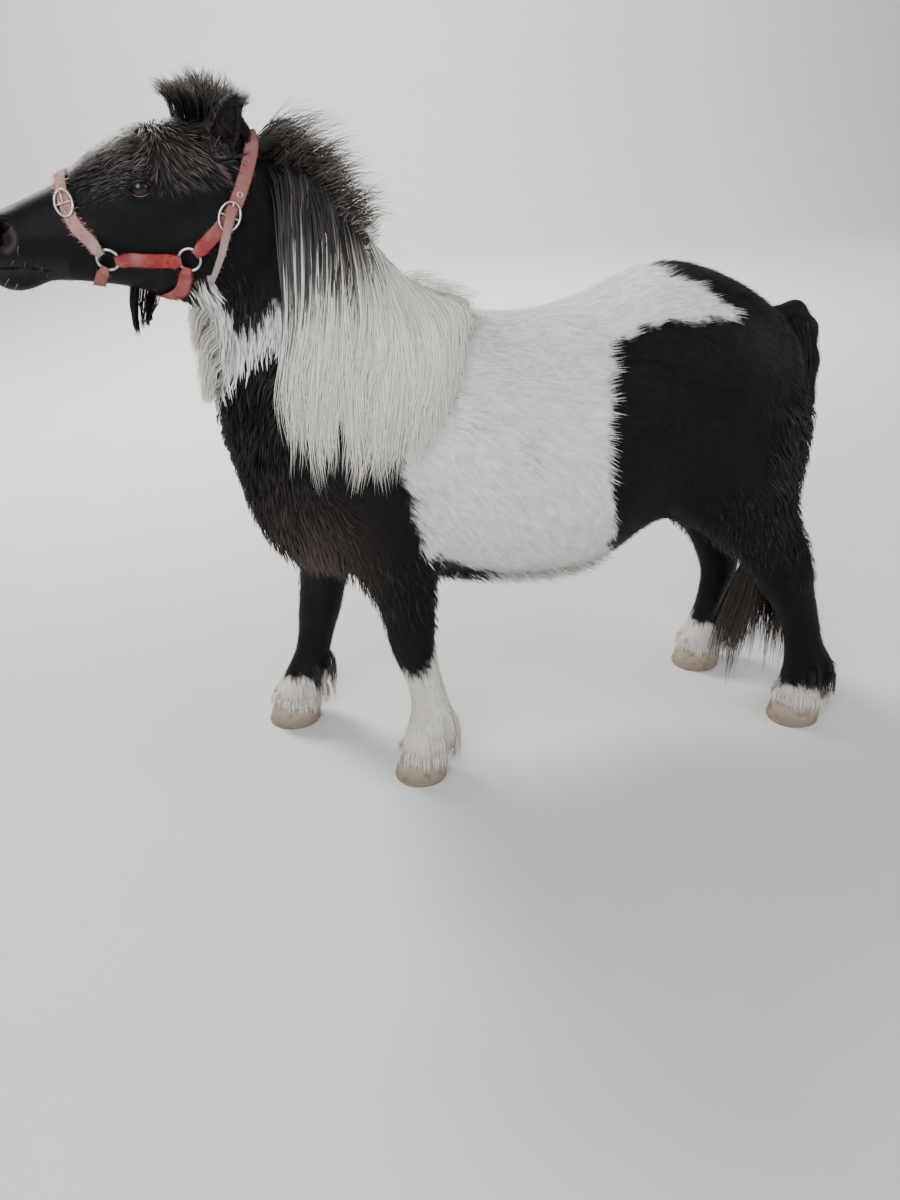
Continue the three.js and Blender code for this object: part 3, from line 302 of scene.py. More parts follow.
def outward(f: Field, p: Array, h: float = 0.0008) -> Array:
    """Returns the way out of a field's surface at points."""
    return unit(np.stack([f(p + step) - f(p - step) for step in np.eye(3) * h], axis=-1))


def settle(f: Field, p: Array, level: Array, rounds: int = 4, most: float = 0.04) -> Array:
    """Moves points along a field's slope until it equals level.

    Args:
        f: The field.
        p: The points.
        level: The wanted value, one or one for each point.
        rounds: How many steps to take.
        most: The longest single step.

    Returns:
        The moved points.
    """
    for _ in range(rounds):
        step = np.clip(level - f(p), -most, most)
        p = p + outward(f, p) * step[..., None]
    return p


def ripple(p: Array, size: float, seed: int) -> Array:
    """Returns smooth noise of about -1 to 1 with bumps of the given size, the same for the same seed."""
    rng = np.random.default_rng(seed)
    total = np.zeros(p.shape[:-1])
    for _ in range(5):
        way = unit(rng.normal(size=3)) * (ROUND / size) * rng.uniform(0.6, 1.4)
        total += np.sin(p @ way + rng.uniform(0, ROUND))
    return total / 2.6


def from_segment(x: Array, z: Array, start: Array, end: Array) -> tuple:
    """Returns the share along a segment of the side view that is nearest to points, and how far it is."""
    ex, ez = end[0] - start[0], end[1] - start[1]
    share = np.clip(((x - start[0]) * ex + (z - start[1]) * ez) / (ex * ex + ez * ez + 1e-12), 0, 1)
    return share, np.hypot(x - start[0] - share * ex, z - start[1] - share * ez)


def inside(outline: Sequence[Sequence[float]], x: Array, z: Array) -> Array:
    """Returns how far points of the side view lie inside a closed outline, below zero outside."""
    pts = np.array(outline, float)
    far, odd = np.full(x.shape, 1e9), np.zeros(x.shape, bool)
    for a, b in zip(pts, np.roll(pts, -1, axis=0)):
        far = np.minimum(far, from_segment(x, z, a, b)[1])
        rise = b[1] - a[1]
        rise += 1e-12 if rise >= 0 else -1e-12
        odd ^= ((a[1] > z) != (b[1] > z)) & (x < a[0] + (z - a[1]) * (b[0] - a[0]) / rise)
    return np.where(odd, far, -far)


def hill(p: Array, x: float, wide: float, z: float, tall: float) -> Array:
    """Returns 1 at a place of the side view, fading to 0 round it."""
    return np.exp(-((p[..., 0] - x) / wide) ** 2 - ((p[..., 2] - z) / tall) ** 2)


def behind_head(p: Array) -> Array:
    """Returns how far points lie behind the plane where the head meets the neck."""
    return (p[..., 0] + 0.265) * 0.926 - (p[..., 2] - 1.10) * 0.377


def from_legs(p: Array) -> Array:
    """Returns the distance from the nearest leg."""
    return np.min([mass(p) for mass in LEGS.values()], axis=0)


class Markings:
    """The piebald markings, drawn on the side view with ragged edges; the off side differs a little."""

    BARREL = [(-0.13, 1.30), (-0.115, 1.10), (-0.10, 0.95), (-0.065, 0.80), (-0.035, 0.68), (-0.02, 0.62),
              (-0.002, 0.568), (0.007, 0.50), (0.021, 0.455), (0.05, 0.43), (0.06, 0.25), (0.42, 0.25),
              (0.385, 0.455), (0.366, 0.489), (0.349, 0.557), (0.338, 0.647), (0.327, 0.715), (0.338, 0.783),
              (0.355, 0.851), (0.383, 0.885), (0.44, 0.897), (0.497, 0.912), (0.555, 0.905), (0.60, 0.903),
              (0.575, 0.93), (0.53, 0.957), (0.49, 0.985), (0.47, 1.30)]
    THROAT = [(-0.46, 0.955), (-0.376, 0.955), (-0.350, 0.968), (-0.325, 0.966), (-0.308, 0.945),
              (-0.296, 0.925),
              (-0.271, 0.937), (-0.20, 0.970), (-0.19, 0.905), (-0.255, 0.893), (-0.286, 0.872),
              (-0.308, 0.840),
              (-0.328, 0.792), (-0.345, 0.768), (-0.46, 0.75)]
    ELBOW = [(0.006, 0.512), (0.03, 0.507), (0.075, 0.482), (0.128, 0.450), (0.138, 0.30), (-0.02, 0.30)]
    SOCKS = {"fore_near": (0.262, 0.05), "fore_off": (0.112, 0.01), "hind_near": (0.094, 0.0),
             "hind_off": (0.122, 0.0)}

    def white(self, p: Array) -> Array:
        """Returns how white the coat is at points: 1 white, 0 black."""
        px, py, pz = apart(p)
        ragged = 0.008 * ripple(p, 0.045, 11) + 0.004 * ripple(p, 0.016, 12)
        off = ease(0.02, 0.16, py)
        x = px - off * (0.035 * np.sin(pz * 9.0) + 0.02)
        z = pz + off * 0.012 * np.sin(px * 14.0)
        rounded = 0.45 * np.abs(py) * ease(-0.29, -0.34, px)
        throat = inside(self.THROAT, px + 0.02 * off, z - rounded)
        edge = np.maximum(np.minimum(inside(self.BARREL, x, z), -inside(self.ELBOW, x, z)), throat) + ragged
        share = ease(-0.006, 0.006, edge)
        for name, (height, rise) in self.SOCKS.items():
            mass = LEGS[name]
            middle = mass.section(mass.local(p)[0])["mid"]
            sock = ease(-0.006, 0.006, height + rise * ease(0.0, 0.05, px - middle) + ragged - pz)
            share = np.where((mass(p) < 0.03) & (pz < 0.38), sock, share)
        return share

    def colour(self, p: Array, white: Array) -> Array:
        """Returns the coat's linear colour at points, from the share of white, with the dark coat browned
        where it is partly sun-bleached and partly painted with sunlight.
        """
        x, _, z = apart(p)
        tone = 0.5 + 0.5 * ripple(p, 0.12, 21)
        fine = ripple(p, 0.02, 22)[..., None]
        # Sun bleach and painted sunlight: the dark coat turns brown on the breast, the forehead and the hind
        # flank, partly as hair bleached by the sun and partly as a painted highlight where sunlight falls.
        flank = ease(0.45, 0.75, x) * ease(0.85, 0.6, z) * ease(0.3, 0.5, z)
        bleach_and_sunlight = 0.7 * hill(p, -0.20, 0.09, 0.50, 0.12) + 0.35 * hill(p, -0.40, 0.10, 1.235, 0.045)
        bleach_and_sunlight = np.clip(bleach_and_sunlight + 0.03 * tone + 0.06 * flank, 0, 1)[..., None]
        dark = mix(np.array([0.0042, 0.0041, 0.0048]) * (1 + 0.2 * fine), np.array([0.060, 0.043, 0.034]),
                   bleach_and_sunlight)
        clean = np.array([0.80, 0.775, 0.735]) * (1 + 0.03 * fine)
        low = ease(0.30, 0.02, z) * 0.55 + 0.25 * ease(0.5, 0.39, z)
        stain = np.clip(low * (0.6 + 0.4 * tone), 0, 1)[..., None]
        pale = mix(clean, np.array([0.60, 0.53, 0.44]), stain)
        return np.clip(mix(dark, pale, white[..., None]), 0, 1)


MARKINGS = Markings()
EAR_ROWS = rows("at half top", (0, 22, 20), (0.22, 27.5, 21), (0.45, 27, 18), (0.68, 20, 13), (0.86, 11, 7.5),
                (0.97, 4, 3))
EYE_RADIUS = 0.019


@dataclass
class Ear:
    """One ear: a leaf-shaped cup that opens outward.

    Attributes:
        side: Which ear it is.
        foot: The middle of its base, in millimetres, for the off side.
        tip: Its tip, in millimetres, for the off side.
        wall: How thick its rim is, in millimetres.
        coat: How much the skin lies inside the solid, in millimetres.
    """

    side: Side
    foot: Sequence[float] = (-296, 47, 1190)
    tip: Sequence[float] = (-256, 66, 1284)
    wall: float = 4.2
    coat: float = 1.2

    def __post_init__(self) -> None:
        """Makes the outer and the inner form."""
        foot, tip = (np.array(place) * [1, self.side.value, 1] for place in (self.foot, self.tip))
        self.length = float(np.linalg.norm(tip - foot))
        self.ahead = unit(tip - foot)
        out = np.array([-0.32, self.side.value * 0.94, 0.0])
        self.out = unit(out - self.ahead * (out @ self.ahead))
        outer, inner = [], []
        for row in EAR_ROWS:
            at, thick, half = row["at"] * self.length, row["top"] - self.coat, row["half"] - self.coat
            outer.append({"at": at, "half": half, "top": thick, "base": thick})
            inner.append({"at": at + 3, "half": max(half - self.wall, 0.8), "mid": thick * 0.95, "top": thick,
                          "base": thick * 1.05})
        self.outer = Mass(foot, self.ahead, outer, self.out)
        self.inner = Mass(foot, self.ahead, inner[1:], self.out)

    def join(self, near: Array, p: Array) -> Array:
        """Adds the ear to a field and hollows its cup."""
        local = far_from(p, self.outer.o + self.ahead * self.length * MM / 2) < 0.11
        result = near.copy()
        grown = smooth_join(near[local], self.outer(p[local]), 0.012)
        result[local] = smooth_cut(grown, self.inner(p[local]), 0.004)
        return result


EARS = {side: Ear(side) for side in Side}


def eye_centre(side: Side) -> Array:
    """Returns the middle of an eyeball."""
    return np.array([-0.419, side.value * 0.073, 1.151])


def nostril(side: Side) -> Array:
    """Returns the middle of a nostril."""
    return np.array([-0.643, side.value * 0.042, 1.082])


def coat_depth(p: Array) -> Array:
    """Returns how far the skin lies under the ends of the coat at points, in metres."""
    at, _, _ = HEAD.local(p)
    face = np.interp(at, (0, 0.06, 0.16, 0.24, 0.32, 0.40, 0.44),
                     (0.008, 0.006, 0.0035, 0.003, 0.002, 0.001, 0.001))
    body = mix(0.010, face, ease(0.03, -0.03, behind_head(p)))
    low = np.interp(p[..., 2], (0.05, 0.12, 0.3, 0.42, 0.55), (0.004, 0.005, 0.006, 0.008, 0.010))
    return mix(body, np.minimum(body, low), ease(0.02, -0.004, from_legs(p)))


def mouth_line(x: Array) -> Array:
    """Returns the height of the line between the lips at x."""
    return np.interp(x, [-0.70, -0.66, -0.61, -0.579], [1.0415, 1.035, 1.0322, 1.026])


def face_details(near: Array, p: Array) -> Array:
    """Adds lids, eye openings, nostrils and the line of the mouth to the skin's field."""
    result = near.copy()
    local = p[..., 0] < -0.36
    q, f = p[local], near[local]
    for side in Side:
        y, d = side.value, q - eye_centre(side)
        f = smooth_join(f, far_from(d / [1.16, 1.0, 1.02], 0) - 0.0222, 0.007)
        fold = np.abs(far_from(d / [1.25, 1.0, 1.12], 0) - 0.0262) - 0.0006
        f = smooth_cut(f, np.maximum(fold, 0.002 - d[..., 2]), 0.003)
        along, rise = d[..., 0] * 0.985 + d[..., 2] * 0.17, d[..., 2] * 0.985 - d[..., 0] * 0.17
        lower = np.hypot(along, rise - 0.0085) - 0.0196
        upper = np.hypot(along + 0.001, rise + 0.0068) - 0.0184
        f = smooth_cut(f, np.maximum(np.maximum(lower, upper), 0.004 - d[..., 1] * y), 0.0022)
        f = np.maximum(f, EYE_RADIUS + 0.0004 - far_from(d, 0))
        deep = muscle(q, (-645, y * 42, 1080), (12, 15, 19))
        flare = muscle(q, (-634, y * 44, 1100), (9, 10, 9))
        f = smooth_cut(f, smooth_join(deep, flare, 0.008), 0.004)
    groove = np.maximum(np.abs(q[..., 2] - mouth_line(q[..., 0])) - 0.0011, q[..., 0] + 0.578)
    result[local] = smooth_cut(f, np.maximum(groove, -(f + 0.006)), 0.0045)
    return result


TAIL_LINE = np.array([[0.770, 0.868], [0.812, 0.872], [0.843, 0.838], [0.858, 0.770], [0.862, 0.690],
                      [0.858, 0.610], [0.850, 0.530], [0.840, 0.450]])
DOCK_RADII = (0.024, 0.025, 0.025, 0.024, 0.021, 0.016)


def hide_field(p: Array) -> Array:
    """Distance from the bare skin under the coat, with ears, dock, lids, nostrils and mouth."""
    near = skin_field(p) + coat_depth(p)
    local = p[..., 0] > 0.70
    x, y, z = apart(p[local])
    for start, end, first, last in zip(TAIL_LINE, TAIL_LINE[1:6], DOCK_RADII, DOCK_RADII[1:]):
        share, far = from_segment(x, z, start, end)
        near[local] = smooth_join(near[local], np.hypot(far, y) - mix(first, last, share) * 0.8, 0.02)
    for ear in EARS.values():
        near = ear.join(near, p)
    return face_details(near, p)


@dataclass
class Net:
    """Turns a field into one closed mesh on a grid that is finer round the head.

    Attributes:
        fine: Grid step at the head.
        coarse: Grid step elsewhere.
        spans: For each axis its first and last place, and where it is fine.
    """

    fine: float = 0.0037
    coarse: float = 0.0091
    spans: tuple = ((-0.72, 0.97, -0.72, -0.225), (-0.29, 0.29, -0.115, 0.115), (0.030, 1.32, 0.955, 1.32))

    def axis(self, index: int) -> Array:
        """Returns the grid's places along one axis; the fine ones across the head lie a little wider."""
        first, last, fine_from, fine_to = self.spans[index]
        fine = self.fine * (1.1 if index == 1 else 1.0)
        made = [first]
        while made[-1] < last:
            made.append(made[-1] + (fine if fine_from - self.coarse <= made[-1] <= fine_to else self.coarse))
        return np.array(made)

    def values(self, f: Field, axes: list, block: int = 8) -> Array:
        """Samples the field on the grid, in full only in blocks that the surface may cross."""
        cuts = [np.append(np.arange(0, len(a), block), len(a)) for a in axes]
        mids = [(a[c[:-1]] + a[c[1:] - 1]) / 2 for a, c in zip(axes, cuts)]
        spans = [a[c[1:] - 1] - a[c[:-1]] for a, c in zip(axes, cuts)]
        centre, size = (np.stack(np.meshgrid(*part, indexing="ij"), axis=-1) for part in (mids, spans))
        value = f(centre.reshape(-1, 3)).reshape(centre.shape[:3])
        wanted = np.abs(value) < 0.75 * far_from(size, 0) + 0.018
        ix = np.ix_(*[np.repeat(np.arange(len(m)), np.diff(c)) for m, c in zip(mids, cuts)])
        out = np.where(value < 0, -1.0, 1.0)[ix].astype(np.float32)
        full = np.argwhere(wanted[ix])
        points = np.stack([axes[k][full[:, k]] for k in range(3)], axis=-1)
        out[tuple(full.T)] = np.concatenate([f(q)
                                             for q in np.array_split(points, max(1, len(points) // 200000))])
        return out

    def mesh(self, f: Field) -> tuple:
        """Returns points and quads of the surface where a field is zero."""
        axes = [self.axis(index) for index in range(3)]
        value = self.values(f, axes)
        dark = value < 0
        n = tuple(s - 1 for s in value.shape)
        corners = [(i, j, k) for i in (0, 1) for j in (0, 1) for k in (0, 1)]
        total = sum(dark[i:n[0] + i, j:n[1] + j, k:n[2] + k].astype(np.int8) for i, j, k in corners)
        cells = np.argwhere((total > 0) & (total < 8))
        number = np.full(n, -1, np.int32)
        number[tuple(cells.T)] = np.arange(len(cells))
        held = {c: value[tuple((cells + c).T)] for c in corners}
        place = {c: np.stack([axes[k][cells[:, k] + c[k]] for k in range(3)], axis=-1) for c in corners}
        point, count = np.zeros((len(cells), 3)), np.zeros(len(cells))
        for c in corners:
            for k in range(3):
                if c[k] == 1:
                    continue
                d = tuple(c[m] + (m == k) for m in range(3))
                cross = (held[c] < 0) != (held[d] < 0)
                gap = np.where(cross, held[c] - held[d], 1.0)
                share = np.where(cross, held[c] / gap, 0.0)[:, None]
                point += np.where(cross[:, None], mix(place[c], place[d], share), 0.0)
                count += cross
        point /= count[:, None]
        quads = []
        for k in range(3):
            a, b = (k + 1) % 3, (k + 2) % 3
            one, two = np.moveaxis(dark, k, 0)[:-1], np.moveaxis(dark, k, 0)[1:]
            edge = np.argwhere(np.moveaxis(one != two, 0, k))
            edge = edge[(edge[:, a] > 0) & (edge[:, b] > 0) & (edge[:, a] < n[a]) & (edge[:, b] < n[b])]
            ring = []
            for da, db in ((1, 1), (0, 1), (0, 0), (1, 0)):
                cell = edge.copy()
                cell[:, [a, b]] -= (da, db)
                ring.append(number[tuple(cell.T)])
            face = np.stack(ring, axis=-1)
            quads.append(np.where(dark[tuple(edge.T)][:, None], face, face[:, ::-1]))
        for _ in range(2):
            point = point + outward(f, point) * np.clip(-f(point), -0.003, 0.003)[:, None]
        return point, np.concatenate(quads)


class Finish(Enum):
    """The record's material slots."""

    BLACK = "coat_black"
    WHITE = "coat_white"
    EYE = "eye"
    HORN = "hoof_horn"
    WEB = "webbing"
    STEEL = "ring_steel"


CHARTS = (((TRUNK, (0.0, 0.0, 1.0, 0.36)), (NECK, (0.0, 0.36, 0.5, 0.62)), (HEAD, (0.5, 0.36, 1.0, 0.72)))
          + tuple((mass, (i / 8, 0.62, (i + 1) / 8, 1.0)) for i, mass in enumerate(LEGS.values()))
          + tuple((ear.outer, (0.5 + i / 4, 0.72, 0.75 + i / 4, 1.0)) for i, ear in enumerate(EARS.values())))
CHART_MARGIN = 0.05


def place_on_map(p: Array, centre: Optional[Array] = None) -> Array:
    """Returns the place of points on the skin's unwrap: each mass's stations and turns fill a chart.

    Args:
        p: Points in the modelling frame, with any leading shape.
        centre: Points that choose the chart and the side of its seam, such as face centres.

    Returns:
        Places from 0 to 1, one pair for each point.
    """
    guide = p if centre is None else centre
    which = np.argmin(np.stack([mass(guide) for mass, _ in CHARTS], axis=-1), axis=-1)
    out = np.zeros(p.shape[:-1] + (2,))
    for index, (mass, rect) in enumerate(CHARTS):
        chosen = which == index
        if chosen.any():
            turn, at = turn_round(mass, p[chosen])
            turn = turn + np.round(turn_round(mass, guide[chosen])[0] - turn)
            for axis, share in enumerate((at, turn)):
                held = np.clip(CHART_MARGIN + (1 - 2 * CHART_MARGIN) * share, 0.005, 0.995)
                out[chosen, axis] = mix(rect[axis], rect[axis + 2], held)
    return out


def turn_round(mass: Mass, p: Array) -> tuple:
    """Returns the turn round a mass and the station along it, both as shares of the whole."""
    at, rise, off = mass.local(p)
    sec = mass.section(np.clip(at, mass.first, mass.last))
    turn = np.arctan2(off - sec["side"], rise - sec["mid"]) / ROUND + 0.5
    return turn, (at - mass.first) / (mass.last - mass.first)


def land(piece: bpy.types.Object) -> bpy.types.Object:
    """Rides a piece on the body."""
    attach(piece, "root")
    LOG.info("%s: %d faces", piece.name, len(piece.data.polygons))
    return piece


def new_object(name: str, data: object) -> bpy.types.Object:
    """Returns a new object of the scene."""
    made = bpy.data.objects.new(name, data)
    bpy.context.scene.collection.objects.link(made)
    return made


def fill(mesh: bpy.types.Mesh, name: str, kind: str, slot: str, values: Array) -> None:
    """Stores a value of each point of a mesh."""
    made = mesh.attributes.new(name, kind, "POINT")
    made.data.foreach_set(slot, np.ascontiguousarray(values, np.float32).ravel())


class MeshMaker:
    """Collects points, faces, colours, map places and normals, and makes one mesh object of them."""

    def __init__(self, name: str) -> None:
        """Starts an empty piece under a name."""
        self.name = name
        self.points, self.faces, self.colours, self.maps, self.normals = [], [], [], [], []
        self.count = 0

    def add(self, points: Array, faces: Sequence[Array], colours: Optional[Array] = None,
            places: Sequence[Array] = (), normals: Optional[Array] = None) -> None:
        """Adds points and faces to the piece.

        Args:
            points: New points.
            faces: Arrays of faces, each with one count of corners, counted from the new points.
            colours: One colour for each point.
            places: For each array of faces, the map place of each corner.
            normals: One shading normal for each point.
        """
        self.points.append(points + SHIFT)
        self.faces += [face + self.count for face in faces]
        self.maps += [place.ravel() for place in places]
        self.colours += [] if colours is None else [colours]
        self.normals += [] if normals is None else [normals]
        self.count += len(points)

    def make(self, material: bpy.types.Material, finish: Finish,
             map_name: str = "OFBake") -> bpy.types.Object:
        """Makes the mesh object and rides it on the body.

        Args:
            material: Its finish.
            finish: Not used.
            map_name: The name of its map.

        Returns:
            The object.
        """
        points = np.concatenate(self.points)
        corners = np.concatenate([face.ravel() for face in self.faces]).astype(np.int32)
        sizes = np.concatenate([np.full(len(face), face.shape[1]) for face in self.faces])
        mesh = bpy.data.meshes.new(self.name)
        mesh.vertices.add(len(points))
        mesh.vertices.foreach_set("co", points.astype(np.float32).ravel())
        mesh.loops.add(len(corners))
        mesh.loops.foreach_set("vertex_index", corners)
        mesh.polygons.add(len(sizes))
        mesh.polygons.foreach_set("loop_start", (np.cumsum(sizes) - sizes).astype(np.int32))
        mesh.update(calc_edges=True)
        mesh.polygons.foreach_set("use_smooth", np.ones(len(sizes), bool))
        if self.colours:
            fill(mesh, "Coat", "FLOAT_COLOR", "color",
                 np.c_[np.concatenate(self.colours), np.ones(len(points))])
        if self.maps:
            places = np.concatenate(self.maps).astype(np.float32)
            mesh.uv_layers.new(name=map_name).data.foreach_set("uv", places)
        if self.normals:
            mesh.normals_split_custom_set_from_vertices(np.concatenate(self.normals).tolist())
        mesh.materials.append(material)
        return land(new_object(self.name, mesh))


def strands(maker: MeshMaker, paths: Array, up: Array, width: Array, colours: Array, flat: float = 0.45,
            soft: float = 0.75) -> None:
    """Adds closed tapered strands of three sides to a piece, thickest a little past the root.

    Args:
        maker: The piece.
        paths: Points of each strand, root first, as strands by points by 3.
        up: The way the flat side faces, one for each point.
        width: The greatest width of each strand.
        colours: The colour at each point.
        flat: Thickness as a share of the width.
        soft: How much the shading follows the coat instead of the strand.
    """
    total, steps = paths.shape[:2]
    ahead = unit(np.gradient(paths, axis=1))
    side = unit(np.cross(up, ahead))
    top = np.cross(ahead, side)[:, :-1]
    side = side[:, :-1]
    share = np.linspace(0, 1, steps)
    taper = np.minimum(0.6 + 1.8 * share, 1.0) * np.minimum(1.0, (1 - share) * 2.2) ** 0.7
    half = (width[:, None] * taper[None, :] / 2)[:, :-1, None]
    rings = paths[:, :-1, None] + np.stack([side * half, top * half * flat * 2, -side * half], axis=2)
    each = 3 * (steps - 1) + 1
    points = np.concatenate([rings.reshape(total, -1, 3), paths[:, -1:]], axis=1).reshape(-1, 3)
    coat = up[:, :-1, None] * soft + np.stack([side, top, -side], axis=2) * (1 - soft)
    normals = np.concatenate([coat.reshape(total, -1, 3), up[:, -1:]], axis=1).reshape(-1, 3)
    tint = np.concatenate([np.repeat(colours[:, :-1], 3, axis=1), colours[:, -1:]], axis=1).reshape(-1, 3)
    quads = [(a, b, b + 3, a + 3) for k in range(0, 3 * (steps - 2), 3)
             for a, b in ((k, k + 1), (k + 1, k + 2), (k + 2, k))]
    last = 3 * (steps - 2)
    tips = [(last + j, last + (j + 1) % 3, each - 1) for j in range(3)] + [(2, 1, 0)]
    start = (np.arange(total) * each)[:, None, None]
    places = place_on_map(paths[:, 0])
    faces, maps = [], []
    for shape in (np.array(quads), np.array(tips)):
        if len(shape):
            local = np.stack([np.minimum(shape // 3, steps - 1) / (steps - 1), (shape % 3) / 2],
                             axis=-1) * PATCH
            maps.append(places[:, None, None] + local[None])
            faces.append((shape[None] + start).reshape(-1, shape.shape[1]))
    maker.add(points, faces, tint, maps, unit(normals))


class Socket:
    """A node's output that Python sums can work on."""

    def __init__(self, tree: bpy.types.NodeTree, link: bpy.types.NodeSocket) -> None:
        """Wraps the output."""
        self.tree = tree
        self.link = link

    def maths(self, operation: str, *values: object) -> "Socket":
        """Adds a Math node on one or two values."""
        return add_node(self.tree, "ShaderNodeMath", {"operation": operation}, dict(enumerate(values)))

    def sine(self) -> "Socket":
        """Returns the sine."""
        return self.maths("SINE", self)

    def over(self, level: float, soft: float) -> "Socket":
        """Returns a mask that rises from 0 to 1 round a level."""
        return add_node(self.tree, "ShaderNodeMapRange", {"interpolation_type": "SMOOTHSTEP"},
                        {"Value": self, "From Min": level - soft, "From Max": level + soft})

    def lerp(self, low: float, high: float) -> "Socket":
        """Returns the value spread from 0..1 to low..high."""
        return self * (high - low) + low


for _name, _operation in (("add", "ADD"), ("sub", "SUBTRACT"), ("mul", "MULTIPLY")):
    setattr(Socket, f"__{_name}__", lambda self, other, kind=_operation: self.maths(kind, self, other))
    setattr(Socket, f"__r{_name}__", lambda self, other, kind=_operation: self.maths(kind, other, self))


def add_node(tree: bpy.types.NodeTree, kind: str, settings: dict, values: dict, out: object = 0) -> Socket:
    """Adds a node, with its settings set first and then its sockets filled or linked.

    Args:
        tree: The tree.
        kind: The node's type.
        settings: Its settings.
        values: Its sockets by name or number.
        out: The output wanted.

    Returns:
        The output, wrapped.
    """
    made = tree.nodes.new(kind)
    for name, value in settings.items():
        setattr(made, name, value)
    for name, value in values.items():
        socket = made.inputs[name]
        if isinstance(value, Socket):
            tree.links.new(value.link, socket)
        else:
            socket.default_value = (*value, 1.0) if socket.type == "RGBA" else value
    return Socket(tree, made.outputs[out])


class Look:
    """A material's tree, with the few nodes that the finishes share."""

    def __init__(self, name: str) -> None:
        """Starts a material with an empty tree."""
        self.material = bpy.data.materials.new(name)
        self.material.use_nodes = True
        self.tree = self.material.node_tree
        self.tree.nodes.clear()
        self.place = self.node("TexCoord", {}, {}, "Object")

    def node(self, kind: str, settings: dict, values: dict, out: object = 0) -> Socket:
        """Adds a shader node."""
        return add_node(self.tree, "ShaderNode" + kind, settings, values, out)

    def noise(self, scale: float, detail: float, stretch: Optional[Sequence[float]] = None) -> Socket:
        """Returns noise, stretched along the axes where wanted."""
        place = self.place
        if stretch:
            place = self.node("Mapping", {}, {"Vector": place, "Scale": stretch})
        return self.node("TexNoise", {}, {"Vector": place, "Scale": scale, "Detail": detail})

    def lit(self, light: Socket) -> Socket:
        """Returns the points' own colour, lightened or darkened."""
        tint = self.node("Attribute", {"attribute_name": "Coat"}, {}, "Color")
        return self.node("VectorMath", {"operation": "SCALE"}, {"Vector": tint, "Scale": light})

    def blend(self, first: object, second: object, share: Socket) -> Socket:
        """Returns two colours mixed by a share."""
        return self.node("Mix", {"data_type": "RGBA"}, {0: share, 6: first, 7: second}, 2)

    def done(self, colour: Socket, rough: object, relief: tuple = (), **more: object) -> bpy.types.Material:
        """Ends the tree in a Principled shader.

        Args:
            colour: Its base colour.
            rough: Its roughness.
            relief: The height, distance and strength of its bump.
            more: Its other inputs, with _ for a space.

        Returns:
            The material.
        """
        values = {"Base Color": colour, "Roughness": rough,
                  **{key.replace("_", " "): more[key] for key in more}}
        if relief:
            values["Normal"] = self.node("Bump", {}, dict(zip(("Height", "Distance", "Strength"), relief)))
        shader = self.node("BsdfPrincipled", {}, values)
        self.tree.links.new(shader.link, self.tree.nodes.new("ShaderNodeOutputMaterial").inputs["Surface"])
        return self.material


@dataclass(frozen=True)
class CoatFinish:
    """Hair or hide: its colour comes from the Coat attribute, with fine streaks and a soft gloss.

    Attributes:
        name: The material's name.
        rough: Its roughness.
        gloss: Its specular level.
        sheen: Its sheen weight.
        grain: How fine its streaks are, in waves a metre.
        relief: How deep its bump is, in metres.
    """

    name: str
    rough: float = 0.55
    gloss: float = 0.4
    sheen: float = 0.1
    grain: float = 420.0
    relief: float = 0.0006

    def make(self) -> bpy.types.Material:
        """Returns the material."""
        look = Look(self.name)
        noise, patch = look.noise(self.grain, 2.0), look.noise(26.0, 3.0)
        return look.done(look.lit(noise.lerp(0.8, 1.2) * patch.lerp(0.9, 1.1)),
                         patch.lerp(self.rough - 0.08, self.rough + 0.08), (noise, self.relief, 0.6),
                         Specular_IOR_Level=self.gloss, Sheen_Weight=self.sheen, Sheen_Roughness=0.4)


def lie_of_coat(p: Array, n: Array) -> Array:
    """Returns the way the hair lies on the skin.

    Args:
        p: Points on the skin.
        n: The way out of the skin there.

    Returns:
        Unit vectors along the skin.
    """
    x, _, z = apart(p)
    zero = np.zeros(x.shape)
    high = ease(0.45, 0.95, z)
    way = np.stack([mix(0.45, 1.0, high), zero, mix(-0.95, -0.25, high)], axis=-1)
    whorl = p - np.array([-0.425, 0.0, 1.235])
    at, rise, _ = HEAD.local(p)
    face, jaw = np.array([-0.99, 0.0, -0.14]), np.array([0.45, 0.0, -0.8])
    front = np.maximum(ease(0.0, 0.06, rise) * ease(0.10, 0.17, at), ease(0.26, 0.34, at) * 0.55)
    head = mix(mix(jaw, face, front[..., None]), unit(whorl + face * 0.03),
               np.exp(-(far_from(whorl, 0) / 0.07) ** 2)[..., None])
    lower = ease(0.66, 0.50, z) * ease(0.02, -0.01, from_legs(p))
    for to, share in ((np.array([0.5, 0.0, -0.85]), ease(0.52, 0.70, x)),
                      (np.array([0.15, 0.0, -1.0]), ease(-0.10, -0.24, x)),
                      (np.array([1.0, 0.0, -0.1]), ease(-0.55, -0.9, n[..., 2]) * ease(-0.1, 0.0, x)),
                      (head, ease(0.02, -0.02, behind_head(p))), (np.array([0.12, 0.0, -1.0]), lower),
                      *((ear.ahead, ease(0.008, -0.001, ear.outer(p))) for ear in EARS.values())):
        way = mix(way, to, share[..., None])
    way = unit(way) + 0.16 * np.stack([ripple(p, 0.14, seed) for seed in (31, 32, 33)], axis=-1)
    return unit(way - n * np.sum(way * n, axis=-1, keepdims=True))


